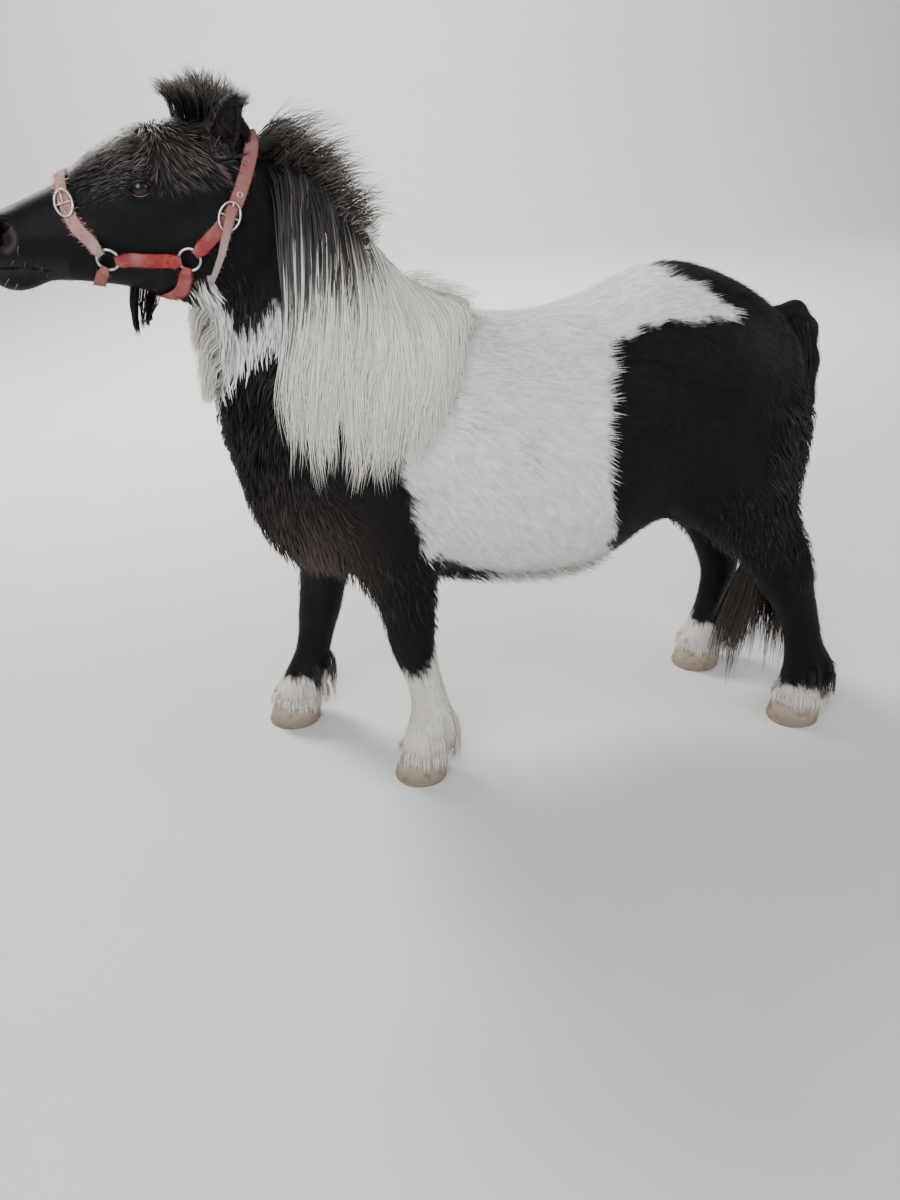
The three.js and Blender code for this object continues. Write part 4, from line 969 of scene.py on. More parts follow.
def coat_length(p: Array) -> Array:
    """Returns how long the coat's tufts are at points, in metres."""
    z = p[..., 2]
    at, rise, _ = HEAD.local(p)
    face = np.interp(at, (0, 0.08, 0.16, 0.24, 0.32, 0.40, 0.44),
                     (0.020, 0.016, 0.012, 0.010, 0.007, 0.005, 0.004))
    face = mix(face, 0.029,
               ease(0.02, 0.07, rise) * np.interp(at, (0, 0.05, 0.20, 0.30), (0.4, 1.0, 0.8, 0.0)))
    face = mix(face, 0.030, ease(-0.03, -0.09, rise) * ease(0.30, 0.18, at))
    body = mix(0.025, 0.040, ease(0.47, 0.40, z))
    shaggy = hill(p, -0.24, 0.09, 0.54, 0.14) + hill(p, 0.74, 0.06, 0.60, 0.14)
    body = mix(mix(body, 0.042, np.clip(shaggy, 0, 1)), 0.056, hill(p, -0.31, 0.07, 0.84, 0.12))
    low = np.interp(z, (0.05, 0.10, 0.2, 0.3, 0.45, 0.6), (0.015, 0.020, 0.024, 0.026, 0.030, 0.030))
    length = mix(mix(body, face, ease(0.03, -0.02, behind_head(p))), low,
                 ease(0.02, -0.004, from_legs(p)) * ease(0.66, 0.55, z))
    for ear in EARS.values():
        length = np.where(ear.outer(p) < 0.003, 0.008, length)
    for side in Side:
        length = length * mix(0.4, 1.0, ease(0.024, 0.05, far_from(p, eye_centre(side))))
    return length


class Skin:
    """The hide under the coat: one closed surface from muzzle to dock and hooves."""

    def build(self) -> None:
        """Makes the surface, its normals and its colours."""
        self.points, self.faces = Net().mesh(hide_field)
        p = self.points
        self.normals = outward(hide_field, p)
        self.white = MARKINGS.white(p)
        tint = MARKINGS.colour(p, self.white)
        bare = ease(0.030, 0.0, np.abs(p[:, 2] - mouth_line(p[:, 0]))) * (p[:, 0] < -0.55)
        tint = mix(tint, np.array([0.020, 0.017, 0.018]), bare[:, None])
        for side in Side:
            rim = far_from(p, nostril(side))
            pale = 0.5 * np.exp(-((rim - 0.0245) / 0.003) ** 2) * ease(-0.648, -0.636, p[:, 0])
            tint = mix(tint, np.array([0.13, 0.098, 0.09]), pale[:, None])
            tint = mix(tint, np.array([0.006, 0.004, 0.004]), ease(0.022, 0.017, rim)[:, None])
        self.tint = tint

    def dress(self) -> None:
        """Makes the piece, in place of the parts of the body."""
        maker = MeshMaker("skin")
        corners = self.points[self.faces]
        centre = np.broadcast_to(corners.mean(axis=1, keepdims=True), corners.shape)
        shown = self.tint * mix(0.8, 0.9, self.white)[:, None]
        maker.add(self.points, [self.faces], shown, [place_on_map(corners, centre)])
        piece = maker.make(CoatFinish("hide", 0.6, 0.14, 0.0, 900.0, 0.0005).make(), Finish.BLACK)
        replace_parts(piece, "head", "neck", "torso", "ear_near", "ear_off", *("leg_" + name for name in LEGS))

    def scatter(self, total: int, spacing: Callable, rng: np.random.Generator) -> tuple:
        """Draws places on the skin.

        Args:
            total: How many.
            spacing: Returns the area that one tuft takes at points.
            rng: The seeded generator.

        Returns:
            Points and the ways out there.
        """
        quads = self.points[self.faces]
        centre = quads.mean(axis=1)
        edge, diagonal, far = (quads[:, k] - quads[:, 0] for k in (1, 2, 3))
        area = far_from(np.cross(edge, diagonal), 0) + far_from(np.cross(diagonal, far), 0)
        weight = area / spacing(centre) * (centre[:, 2] >= 0.046)
        pick = rng.choice(len(quads), size=total, p=weight / weight.sum())
        u, v = rng.random((2, total, 1))
        point, normal = (mix(mix(q[:, 0], q[:, 1], u), mix(q[:, 3], q[:, 2], u), v)
                         for q in (quads[pick], self.normals[self.faces[pick]]))
        return point, unit(normal)


@dataclass
class Coat:
    """The coat: overlapping tufts that lie along the body, split into pieces by colour.

    Attributes:
        skin: The hide that they grow on.
        short: How many short, straight tufts.
        long: How many long, bent tufts, where the coat is shaggy.
        slender: Width of a tuft as a share of its length.
        finest: The least width of a tuft.
        seed: The seed of its scatter.
    """

    skin: Skin
    short: int = 156000
    long: int = 24500
    slender: float = 0.075
    finest: float = 0.0011
    seed: int = 5

    @staticmethod
    def brow(p: Array) -> Array:
        """Returns how far points belong to the fluffy forehead, whose dark tips are lightened partly as sun
        bleach and partly as a painted sunlight highlight.
        """
        at, rise, _ = HEAD.local(p)
        return ease(0.03, 0.07, rise) * ease(0.29, 0.20, at) * ease(-0.24, -0.30, p[..., 0])

    def shag(self, p: Array) -> Array:
        """Returns where the coat is long and shaggy, from 0 to 1."""
        return np.maximum(ease(0.026, 0.034, coat_length(p)), self.brow(p))

    @staticmethod
    def keep(root: Array) -> Array:
        """Returns which roots are clear of eyes, nostrils, ear cups and mouth."""
        good = (root[:, 0] >= -0.575) | (np.abs(root[:, 2] - mouth_line(root[:, 0])) >= 0.005)
        for side in Side:
            good &= far_from(root, eye_centre(side)) > EYE_RADIUS + 0.0042
            good &= (far_from(root, nostril(side)) > 0.021) & (EARS[side].inner(root) > 0.0008)
        return good & (root[:, 2] > 0.05)

    def grow(self, shaggy: bool, rng: np.random.Generator) -> dict:
        """Places tufts and works out their bend and colour.

        Args:
            shaggy: Whether these are the long tufts.
            rng: The seeded generator.

        Returns:
            Paths, ways out, widths, colours and which are white.
        """
        most = 1.0 if shaggy else 0.026

        def spacing(p: Array) -> Array:
            """Returns the area that one tuft takes."""
            length = np.minimum(coat_length(p), most)
            area = length * np.maximum(length * self.slender, self.finest)
            return area / np.maximum(self.shag(p), 1e-6) if shaggy else area

        root, out = self.skin.scatter(self.long if shaggy else self.short, spacing, rng)
        good = self.keep(root)
        root, out = root[good], out[good]
        count = len(root)
        length = np.minimum(coat_length(root), most) * rng.uniform(0.7, 1.25, count)
        way = lie_of_coat(root, out)
        swing = rng.normal(0, 0.10, (count, 1)) + 0.20 * ripple(root, 0.05, 41)[:, None]
        way = unit(way + np.cross(out, way) * swing)
        depth = coat_depth(root)
        if shaggy:
            loose = 1 + 0.9 * ease(-0.3, -0.8, out[:, 2]) + 1.2 * self.brow(root)
            lift = np.minimum(depth * 1.25, length * 0.5) * loose * rng.uniform(0.5, 1.2, count)
            half = (length * 0.5)[:, None]
            middle = settle(hide_field, root + way * half, lift * 0.7, 1, 0.012)
            tip = middle + (unit(middle - root) * 0.5 + way * 0.5) * half
            path = [root - out * 0.0012, middle, settle(hide_field, tip, lift, 1, 0.012)]
        else:
            lift = np.minimum(depth, length * 0.30) * rng.uniform(0.25, 1.1, count)
            tip = root + way * length[:, None]
            tip = tip + out * np.clip(lift - hide_field(tip), -0.008, 0.012)[:, None]
            path = [root - out * 0.0012, tip]
        path = np.stack(path, axis=1)
        over = np.abs(np.abs(path[:, -1]) - np.abs(eye_centre(Side.NEAR)))
        clear = np.hypot(over[:, 0], over[:, 2] * 1.25) > 0.0195
        root, out, path, length, count = root[clear], out[clear], path[clear], length[clear], int(clear.sum())
        width = np.maximum(length * self.slender, self.finest) * rng.uniform(0.75, 1.25, count)
        white = MARKINGS.white(root) > rng.uniform(0.25, 0.75, count)
        pale = white[:, None]
        tint = MARKINGS.colour(root, white.astype(float))
        shade = rng.uniform(0.88, 1.08, (count, 1))
        veil = ease(0.0, 0.7, ripple(root, 0.11, 43)) * ease(0.30, 0.05, root[:, 0])
        veil = veil * ease(0.55, 0.75, root[:, 2]) * (rng.random(count) < 0.3)
        tint = np.where(pale & (veil > 0.3)[:, None], tint * np.array([0.62, 0.61, 0.64]), tint)
        tips = np.where(pale, np.minimum(tint * 1.03 * shade, 0.84), tint * 1.5 * shade)
        brown = (rng.random(count) < 0.35 * self.shag(root))[:, None] & ~pale
        tips = np.where(brown, tips + np.array([0.030, 0.023, 0.018]), tips)
        # Partly sun bleach, partly a painted sunlight highlight: dark tufts on the forehead get grey-brown
        # tips.
        bleach_and_sun_glint = self.brow(root) * rng.random(count) ** 2 * ~white
        tips = tips + bleach_and_sun_glint[:, None] * np.array([0.15, 0.13, 0.12])
        # Painted shade: each tuft is darkened to 0.84-0.85 of its colour at the root, where it lies down at
        # the skin, and grows lighter towards its tip.
        roots = tint * np.where(pale, 0.84, 0.85) * shade
        steps = path.shape[1]
        return {"path": path, "up": np.repeat(out[:, None], steps, axis=1), "width": width,
                "colours": mix(roots[:, None], tips[:, None], np.linspace(0, 1, steps)[None, :, None]),
                "white": white, "place": np.floor(root[:, 0] * 12)}

    def dress(self) -> None:
        """Grows the tufts and makes the pieces."""
        rng = np.random.default_rng(self.seed)
        finishes = ((Finish.BLACK, CoatFinish("coat black", 0.42, 0.14, 0.0, 520.0, 0.0003).make()),
                    (Finish.WHITE, CoatFinish("coat white", 0.66, 0.3, 0.1, 520.0, 0.0003).make()))
        for kind, flat in (("short", 0.3), ("long", 0.35)):
            grown = self.grow(kind == "long", rng)
            for finish, material in finishes:
                chosen = np.flatnonzero(grown["white"] == (finish is Finish.WHITE))
                chosen = chosen[np.argsort(grown["place"][chosen], kind="stable")]
                for number, part in enumerate(shares(chosen, grown["path"].shape[1], 190000)):
                    maker = MeshMaker(f"{finish.value}_{kind}_{number + 1}")
                    strands(maker, *(grown[key][part] for key in ("path", "up", "width", "colours")), flat,
                            0.82)
                    maker.make(material, finish)


def shares(chosen: Array, steps: int, most: int = PIECE_MOST) -> list:
    """Returns strands split so that no piece has too many triangles."""
    return np.array_split(chosen, max(1, math.ceil(len(chosen) * (6 * (steps - 2) + 4) / most)))


@dataclass
class Locks:
    """Long hair gathered in locks that walk over the body.

    Attributes:
        name: The piece's name.
        roots: Where each lock grows.
        steer: Returns the wanted way at points, given the share along the lock and the way out.
        length: Each lock's length.
        colour: Returns the colours along strands, given their paths and a seeded generator.
        strands: Strands to a lock.
        spread: How far its roots lie apart.
        gather: How far its tips lie apart.
        wave: How far a strand strays from its lock.
        height: How high each lock lies over the skin.
        width: Width of a strand.
        steps: Points along a strand.
        hang: Above this distance a lock hangs free.
        seed: The seed of its draws.
        curl: How far a lock's end curls.
        bury: Share of the coat's depth that its roots go down through.
        given: Middle lines and ways out, where they aren't walked.
    """

    name: str
    roots: Array
    steer: Callable
    length: Array
    colour: Callable
    strands: int
    spread: float
    gather: float
    wave: float
    height: Array
    width: float
    steps: int
    hang: float
    seed: int
    curl: float = 0.0
    bury: float = 1.0
    given: Optional[tuple] = None

    def guides(self) -> tuple:
        """Returns the middle lines of the locks, walked over the skin, and the ways out along them."""
        p = self.roots.copy()
        path, out = [p], [outward(skin_field, p)]
        step = (self.length / (self.steps - 1))[:, None]
        ahead = None
        for k in range(1, self.steps):
            share, n = k / (self.steps - 1), out[-1]
            want = unit(self.steer(p, share, n))
            near = ease(self.hang * 1.6, self.hang * 0.4, skin_field(p))[:, None]
            want = unit(want - n * np.minimum(np.sum(want * n, axis=-1, keepdims=True), 0.0) * near)
            ahead = want if ahead is None else unit(0.5 * ahead + 0.5 * want)
            p = p + ahead * step
            n = outward(skin_field, p)
            gap = self.height * min(1.0, 0.25 + 2.4 * share) * (1 - 0.35 * share) - skin_field(p)
            pull = np.where(gap > 0, gap, np.where(-gap < self.hang, gap * 0.5, 0.0))
            p = p + n * np.clip(pull, -0.02, 0.02)[:, None]
            path.append(p)
            out.append(n)
        return np.stack(path, axis=1), np.stack(out, axis=1)

    def build(self) -> tuple:
        """Spreads strands round each lock; returns paths, ways out, widths and colours."""
        rng = np.random.default_rng(self.seed)
        guide, out = self.given or self.guides()
        locks, steps = guide.shape[:2]
        share = np.linspace(0, 1, steps)[None, None, :, None]
        ahead = unit(np.gradient(guide, axis=1))
        side = unit(np.cross(out, ahead))
        each = (locks, self.strands, 1, 1)
        turn = rng.uniform(0, ROUND, each)
        reach = mix(self.spread, self.gather, share ** 0.8) * np.sqrt(rng.random(each))
        phase = rng.uniform(0, ROUND, (2, *each))
        speed = rng.uniform(0.7, 1.5, (2, *each)) * ROUND
        lock_phase = rng.uniform(0, ROUND, (locks, 1, 1, 1))
        u, v = self.wave * share ** 1.2 * np.sin(speed * share + phase)
        curled = self.curl * share ** 3
        u = np.cos(turn) * reach + u + curled * np.sin(14 * share + lock_phase)
        v = np.sin(turn) * reach * 0.38 + 0.6 * v + curled * 0.5 * np.cos(14 * share + lock_phase)
        base = guide[:, None] + side[:, None] * u + np.cross(ahead, side)[:, None] * v
        cut = rng.uniform(0.72, 1.0, (locks, self.strands, 1))
        where = np.clip(np.linspace(0, 1, steps) * cut * (steps - 1), 0, steps - 1.001)
        low = where.astype(int)[..., None]
        paths = mix(*(np.take_along_axis(base, low + k, 2) for k in (0, 1)), where[..., None] - low)
        ups = np.repeat(out[:, None], self.strands, axis=1).reshape(-1, steps, 3)
        paths = paths.reshape(-1, steps, 3)
        floor = np.where(np.arange(steps) < 1, -0.002, -0.004)
        push = np.clip(floor - skin_field(paths), 0, 0.02)
        paths = paths + outward(skin_field, paths) * push[..., None]
        paths[:, 0] -= ups[:, 0] * (self.bury * (coat_depth(paths[:, 0]) + 0.001))[:, None]
        paths[..., 2] = np.maximum(paths[..., 2], 0.0035 + 0.004 * rng.random((len(paths), 1)))
        colours = np.clip(self.colour(paths, rng), 0, 0.85)
        return paths, ups, self.width * rng.uniform(0.7, 1.3, len(paths)), colours

    def dress(self, material: bpy.types.Material, finish: Finish, replaced: Sequence[str] = ()) -> None:
        """Makes the pieces; the first one takes the place of the replaced nodes."""
        made = self.build()
        for number, part in enumerate(shares(np.arange(len(made[0])), self.steps)):
            maker = MeshMaker(f"{self.name}_{number + 1}")
            strands(maker, *(values[part] for values in made))
            piece = maker.make(material, finish)
            if number == 0 and replaced:
                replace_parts(piece, *replaced)


DARK_HAIR = np.array([0.0060, 0.0052, 0.0053])
BROWN_HAIR = np.array([0.070, 0.050, 0.040])
GREY_HAIR = np.array([0.21, 0.170, 0.145])
WHITE_HAIR = np.array([0.79, 0.77, 0.71])
CREAM_HAIR = np.array([0.70, 0.63, 0.50])


def on_skin(mass: Mass, at: Array, turn: Array) -> Array:
    """Returns points of the coat's surface at stations and turns round a mass."""
    return settle(skin_field, np.stack([mass.point(a, t, 0.14) for a, t in zip(at, turn)]), np.zeros(len(at)),
                  8)


def roots_in(rng: np.random.Generator, count: int, *spans: tuple) -> Array:
    """Returns points of the coat's surface drawn from a box whose x, y and z spans are given."""
    return settle(skin_field, np.stack([rng.uniform(*span, count) for span in spans], -1), np.zeros(count),
                  10)


def bent(rise: float, fade: float, way: Array, sag: Array = (0, 0, 0)) -> Callable:
    """Returns a steering out of the skin by rise, less so by fade towards the tip, on a way that sags."""

    def steer(p: Array, along: float, n: Array) -> Array:
        """Returns the wanted way at points."""
        return n * (rise - fade * along) + np.asarray(way) + np.asarray(sag) * along

    return steer


def hair_colours(first: Array, last: Array, fleck: float, bend: float = 1.0) -> Callable:
    """Returns a colouring from root to tip with strands that vary by a fleck."""

    def colour(paths: Array, rng: np.random.Generator) -> Array:
        """Returns the colour at each point of the strands."""
        along = np.linspace(0, 1, paths.shape[1])[None, :, None] ** bend
        reach, shade = rng.random((2, len(paths), 1, 1))
        return mix(first, last, along * reach ** 0.8) * (1 + fleck * (2 * shade - 1))

    return colour


def sock_colours(paths: Array, rng: np.random.Generator) -> Array:
    """Returns white or dark strands, as the coat is a little below their roots."""
    white = MARKINGS.white(paths[:, 0] - np.array([0, 0, 0.012])) > rng.uniform(0.3, 0.7, len(paths))
    shade = 0.9 + 0.16 * rng.random((len(paths), 1, 1))
    along = np.linspace(0, 1, paths.shape[1])[None, :, None]
    dark = mix(DARK_HAIR, BROWN_HAIR * 0.5, along * rng.random((len(paths), 1, 1)))
    return np.where(white[:, None, None], mix(WHITE_HAIR * 0.88, CREAM_HAIR * 0.85, along), dark) * shade


def piebald_colours(front: float, brown: float, drop: float = 0.0) -> Callable:
    """Returns a colouring that is dark in front and above, and white behind and below.

    Args:
        front: The x at which the roots turn from dark to white.
        brown: How much of the dark hair is bleached brown.
        drop: How much further down the dark reaches.

    Returns:
        The colouring.
    """

    def colour(paths: Array, rng: np.random.Generator) -> Array:
        """Returns the colour at each point of the strands."""
        count = len(paths)
        x = paths[:, 0, 0] + rng.normal(0, 0.012, count)
        turns = np.interp(x, (-0.24, -0.15, -0.08), (0.92, 1.0, 1.08)) - drop + rng.normal(0, 0.045, count)
        dark = ease(front + 0.018, front - 0.018, x)[:, None]
        dark = (dark * ease(-0.05, 0.05, paths[..., 2] - turns[:, None]))[..., None]
        bleach, yellow, shade = rng.random((3, count, 1, 1))
        bleach = brown * bleach ** 1.5
        along = np.linspace(0.15, 1, paths.shape[1])[None, :, None]
        deep = mix(DARK_HAIR, mix(BROWN_HAIR, GREY_HAIR, bleach), bleach * along)
        pale = mix(WHITE_HAIR, CREAM_HAIR, 0.7 * yellow ** 2) * (0.86 + 0.18 * shade)
        return mix(pale, deep, dark ** 0.6)

    return colour


@dataclass
class LongHair:
    """Mane, forelock, beard, ruff, tail, feather, whiskers and the hair in the ears.

    Attributes:
        mane_locks: Locks of the long mane.
        fringe_locks: Dark locks that lie over its front.
        crest_locks: Locks, and wisps, that stand along the front of the crest.
        forelock_locks: Locks between the ears.
        tail_locks: Locks of the tail.
        seed: The seed of all its draws.
        mane_ends: Share along the crest, x and z of the mane's lower edge.
    """

    mane_locks: int = 132
    fringe_locks: int = 36
    crest_locks: int = 100
    forelock_locks: int = 46
    tail_locks: int = 60
    seed: int = 20417
    mane_ends: tuple = ((0.0, -0.224, 0.752), (0.15, -0.206, 0.69), (0.3, -0.172, 0.645),
                        (0.5, -0.112, 0.620),
                        (0.65, -0.055, 0.632), (0.78, 0.0, 0.672), (0.9, 0.045, 0.79), (1.0, 0.092, 0.885))

    def __post_init__(self) -> None:
        """Makes the two finishes of long hair."""
        self.dark = (CoatFinish("long hair dark", 0.42, 0.25, 0.0, 300.0, 0.0002).make(), Finish.BLACK)
        self.pale = (CoatFinish("long hair white", 0.5, 0.4, 0.05, 300.0, 0.0002).make(), Finish.WHITE)

    def mane(self) -> None:
        """Builds the long mane that hangs over the near side of the neck and shoulder."""
        ends = np.array(self.mane_ends)
        for fringe, count, strands in ((0, self.mane_locks, 31), (1, self.fringe_locks, 21)):
            rng = np.random.default_rng(self.seed + fringe)
            share = (np.arange(count) + rng.random(count)) / count * (0.44 if fringe else 1.0)
            root = on_skin(NECK, mix(0.472, 0.075, share),
                           rng.uniform(-0.5 if fringe else -0.78, 0.14, count))
            end = np.stack([np.interp(share, ends[:, 0], ends[:, k]) for k in (1, 2)], axis=-1)
            end = end + rng.normal(0, 0.008, (count, 2))
            if fringe:
                end[:, 1] = mix(1.0, 0.88, rng.random(count)) - 0.05 * share
                end[:, 0] = mix(end[:, 0], root[:, 0], 0.12)
            end = mix(root[:, [0, 2]], end, rng.uniform(0.88, 1.02, count)[:, None])
            length = np.linalg.norm(end - root[:, [0, 2]], axis=1) * 1.09

            def steer(p: Array, along: float, n: Array, end: Array = end) -> Array:
                """Heads for the lock's end, over the crest first."""
                to = unit(end - p[:, [0, 2]] + np.array([0.0, -0.05]))
                return np.stack([to[:, 0], np.full(len(p), -0.75 * max(0.0, 1 - 2.2 * along)), to[:, 1]],
                                axis=-1)

            colour = piebald_colours(-0.085, 0.9, 0.07) if fringe else piebald_colours(-0.085, 0.5)
            Locks("mane_fringe" if fringe else "mane_under", root, steer, length, colour, strands, 0.019,
                  0.012, 0.0055,
                  rng.uniform(0.003, 0.016, count) + 0.005 * fringe, 0.0020, 10 - fringe, 0.03,
                  self.seed + 2 + fringe, 0.0085).dress(*self.pale)

    def crest(self) -> None:
        """Builds what stands along the crest, the ridge behind it, the poll's tufts and the withers'."""
        for wispy, strands, long in ((0, 17, 0.056), (1, 7, 0.105)):
            count = self.crest_locks
            rng = np.random.default_rng(self.seed + 10 + wispy)
            share = (np.arange(count) + rng.random(count)) / count * (0.85 if wispy else 1.0)
            root = on_skin(NECK, mix(0.515, 0.275, share), rng.uniform(-0.6, 0.5, count))
            length = long * mix(1.0, 0.72, share) * rng.uniform(0.55, 1.15, count)
            lean = np.c_[rng.normal(0, 0.3, (count, 2)), np.zeros(count)]
            sag = np.array([0.0, 0.25, -0.95]) * np.c_[np.ones(count), np.sign(root[:, 1]), np.ones(count)]
            colour = (hair_colours(BROWN_HAIR * 0.5, GREY_HAIR * 1.5, 0.3) if wispy
                      else piebald_colours(-0.075, 0.9))
            Locks("mane_wisps" if wispy else "mane_crest", root,
                  bent(0.95, 0.65, lean + [0.75, 0, 0.35], sag), length,
                  colour, strands, 0.016, 0.040 if wispy else 0.028, 0.010, length * 0.75,
                  0.0010 if wispy else 0.0014,
                  6, 0.0, self.seed + 12 + wispy).dress(*self.dark)
        rng = np.random.default_rng(self.seed + 14)
        ridge = on_skin(NECK, rng.uniform(0.09, 0.31, 64), rng.uniform(-0.35, 0.75, 64))
        piebald, white = piebald_colours(-0.085, 0.8), hair_colours(WHITE_HAIR, CREAM_HAIR, 0.06)
        poll = roots_in(rng, 30, (-0.272, -0.232), (-0.075, 0.075), (1.24, 1.24))
        withers = roots_in(rng, 16, (0.02, 0.12), (-0.04, 0.025), (1.0, 1.0))
        Locks("mane_ridge", ridge, bent(0.25, 0.4, [0.85, 0, -0.6]), rng.uniform(0.045, 0.075, 64), piebald,
              15, 0.016,
              0.016, 0.004, 0.008, 0.0016, 6, 0.02, self.seed + 15).dress(*self.pale)
        Locks("mane_poll", poll, bent(0.8, 0.5, [-0.45, 0, 0.1]), rng.uniform(0.030, 0.048, 30),
              hair_colours(DARK_HAIR, BROWN_HAIR, 0.3), 20, 0.014, 0.020, 0.006, 0.02, 0.0013, 6, 0.0,
              self.seed + 16).dress(*self.dark)
        Locks("mane_withers", withers, bent(0.3, 0.3, [1.0, -0.25, -0.1], [0, 0, -0.15]),
              rng.uniform(0.045, 0.08, 16),
              white, 12, 0.020, 0.034, 0.007, 0.025, 0.0012, 7, 0.0, self.seed + 17).dress(*self.pale)

    def forelock(self) -> None:
        """Builds the rounded brush of the forelock between the ears."""
        rng = np.random.default_rng(self.seed + 20)
        count = self.forelock_locks
        turn = np.arange(count) * 2.399
        out = np.sqrt((np.arange(count) + 0.5) / count)
        away = np.c_[-np.cos(turn) * out, np.sin(turn) * out, np.zeros(count)]
        root = settle(skin_field, away * [0.050, 0.024, 0] + [-0.303, 0.012, 1.26], np.zeros(count), 8)
        steer = bent(0, 0, away * [0.85, 0.3, 0] + [-0.06, 0, 1.0], away * [0.7, 0.3, 0] + [0, 0, -0.45])
        length = mix(0.060, 0.044, out ** 2) * rng.uniform(0.8, 1.15, count)
        Locks("forelock", root, steer, length, hair_colours(DARK_HAIR * 1.3, GREY_HAIR * 1.25, 0.3, 1.2), 38,
              0.014,
              0.024, 0.011, length, 0.0013, 6, 0.0, self.seed + 21).dress(*self.dark)

    def beard(self) -> None:
        """Builds the beard behind the chin groove and the white ruff of the throat."""
        rng = np.random.default_rng(self.seed + 30)
        count = 9
        root = roots_in(rng, count, (-0.478, -0.428), (-0.016, 0.016), (0.95, 0.95))
        middle = (root[:, 0] + 0.453) / 0.025
        sag = np.c_[middle * 0.3, -8 * root[:, 1], np.zeros(count)]
        Locks("beard", root, bent(0, 0, np.c_[middle * -0.3, np.zeros(count), -np.ones(count)], sag),
              0.062 - 0.028 * middle ** 2, hair_colours(DARK_HAIR, BROWN_HAIR * 0.5, 0.25), 40, 0.011, 0.006,
              0.004,
              0.05, 0.0013, 7, 0.0, self.seed + 31).dress(*self.dark)
        root = roots_in(rng, 64, (-0.375, -0.375), (-0.06, 0.06), (0.815, 0.935))
        length = rng.uniform(0.55, 1.2, 64) * mix(0.045, 0.066, ease(0.82, 0.87, root[:, 2]))
        Locks("throat_ruff", root, bent(0.3, 0.1, [-0.08, 0, -1.0]), length,
              hair_colours(WHITE_HAIR, CREAM_HAIR, 0.06), 20, 0.022, 0.012, 0.007, 0.022, 0.0015, 5, 0.0,
              self.seed + 32).dress(*self.pale)

    def tail(self) -> None:
        """Builds the tail, from the dock down between the hocks."""
        rng = np.random.default_rng(self.seed + 40)
        count, steps = self.tail_locks, 11
        at = np.concatenate([[0], np.cumsum(far_from(np.diff(TAIL_LINE, axis=0), 0))])
        order = (np.arange(count) + 0.5) / count
        begin = mix(0.03, 0.90, order) * at[-1]
        turn = mix(-math.pi, math.pi, (np.arange(count) * 0.618) % 1)
        floor = 0.010 + rng.random(count) ** 1.5 * 0.09 + 0.10 * (1 - order) * rng.random(count)
        end_x = np.where(np.arange(count) % 3 == 0, rng.uniform(0.83, 0.868, count),
                         rng.uniform(0.725, 0.80, count))
        end_y = rng.uniform(-0.045, 0.045, count)
        whole = at[-1] - begin + TAIL_LINE[-1, 1] - floor
        paths, ups = [], []
        for s in np.linspace(0, 1, steps):
            free = np.maximum(begin + s * whole - at[-1], 0)
            held = np.minimum(begin + s * whole, at[-1])
            before, here, after = (np.stack([np.interp(far, at, line) for line in TAIL_LINE.T], -1)
                                   for far in (held - 0.01, held, held + 0.01))
            (x, z), run = here.T, unit(after - before)
            off = np.stack([-run[:, 1] * np.cos(turn), 1.15 * np.sin(turn), run[:, 0] * np.cos(turn)], -1)
            low = ease(0.0, 0.36, free)
            reach = np.interp(held / at[-1], [0, 0.1, 0.5, 1.0], [0.012, 0.020, 0.022, 0.016]) + 0.012 * low
            x = x - 0.020 * ease(0.02, 0.12, held)
            middle = np.stack([mix(x, end_x, low), end_y * low + 0.006 * np.sin(s * 9 + turn), z - free], -1)
            paths.append(middle + off * (reach * rng.uniform(0.9, 1.1, count))[:, None])
            ups.append(unit(off + 1e-6))
        guide = np.stack(paths, 1)
        Locks("tail", guide[:, 0], None, np.ones(count), hair_colours(DARK_HAIR, BROWN_HAIR, 0.25, 2.0), 28,
              0.013,
              0.017, 0.007, 0.0, 0.0023, steps, 0.02, self.seed + 41, 0.004, 0.3,
              (guide, np.stack(ups, 1))).dress(*self.dark, ["tail"])

    def feather(self) -> None:
        """Builds the feather behind each fetlock and round each coronet."""
        for index, (name, mass) in enumerate(LEGS.items()):
            rng = np.random.default_rng(self.seed + 50 + index)
            for kind, count, strands, wide, low, high, long in (("feather", 15, 18, 1.9, 0.115, 0.165, 0.078),
                                                                ("coronet", 26, 13, math.pi, 0.070, 0.082,
                                                                 0.036)):
                turn = np.linspace(-wide, wide, count) + rng.normal(0, 0.06, count)
                height = rng.uniform(low, high, count)
                sec = mass.section(-height)
                away = np.c_[np.cos(turn), np.sin(turn), np.zeros(count)]
                start = np.c_[sec["mid"], sec["side"], height] + away * 0.06
                root = settle(skin_field, start, np.full(count, -0.002), 6)
                length = long * rng.uniform(0.8, 1.15,
                                            count) * (0.85 + 0.25 * np.cos(turn * (kind == "feather")))
                pale = MARKINGS.white(root - np.array([0, 0, 0.02])).mean() > 0.4
                Locks(f"{kind}_{name}", root, bent(0, 0, away * 0.03 + [0.03, 0, -1.0]), length, sock_colours,
                      strands, 0.010,
                      0.010, 0.003, 0.005, 0.0014, 5, 0.0,
                      self.seed + 60 + index).dress(*(self.pale if pale else self.dark))

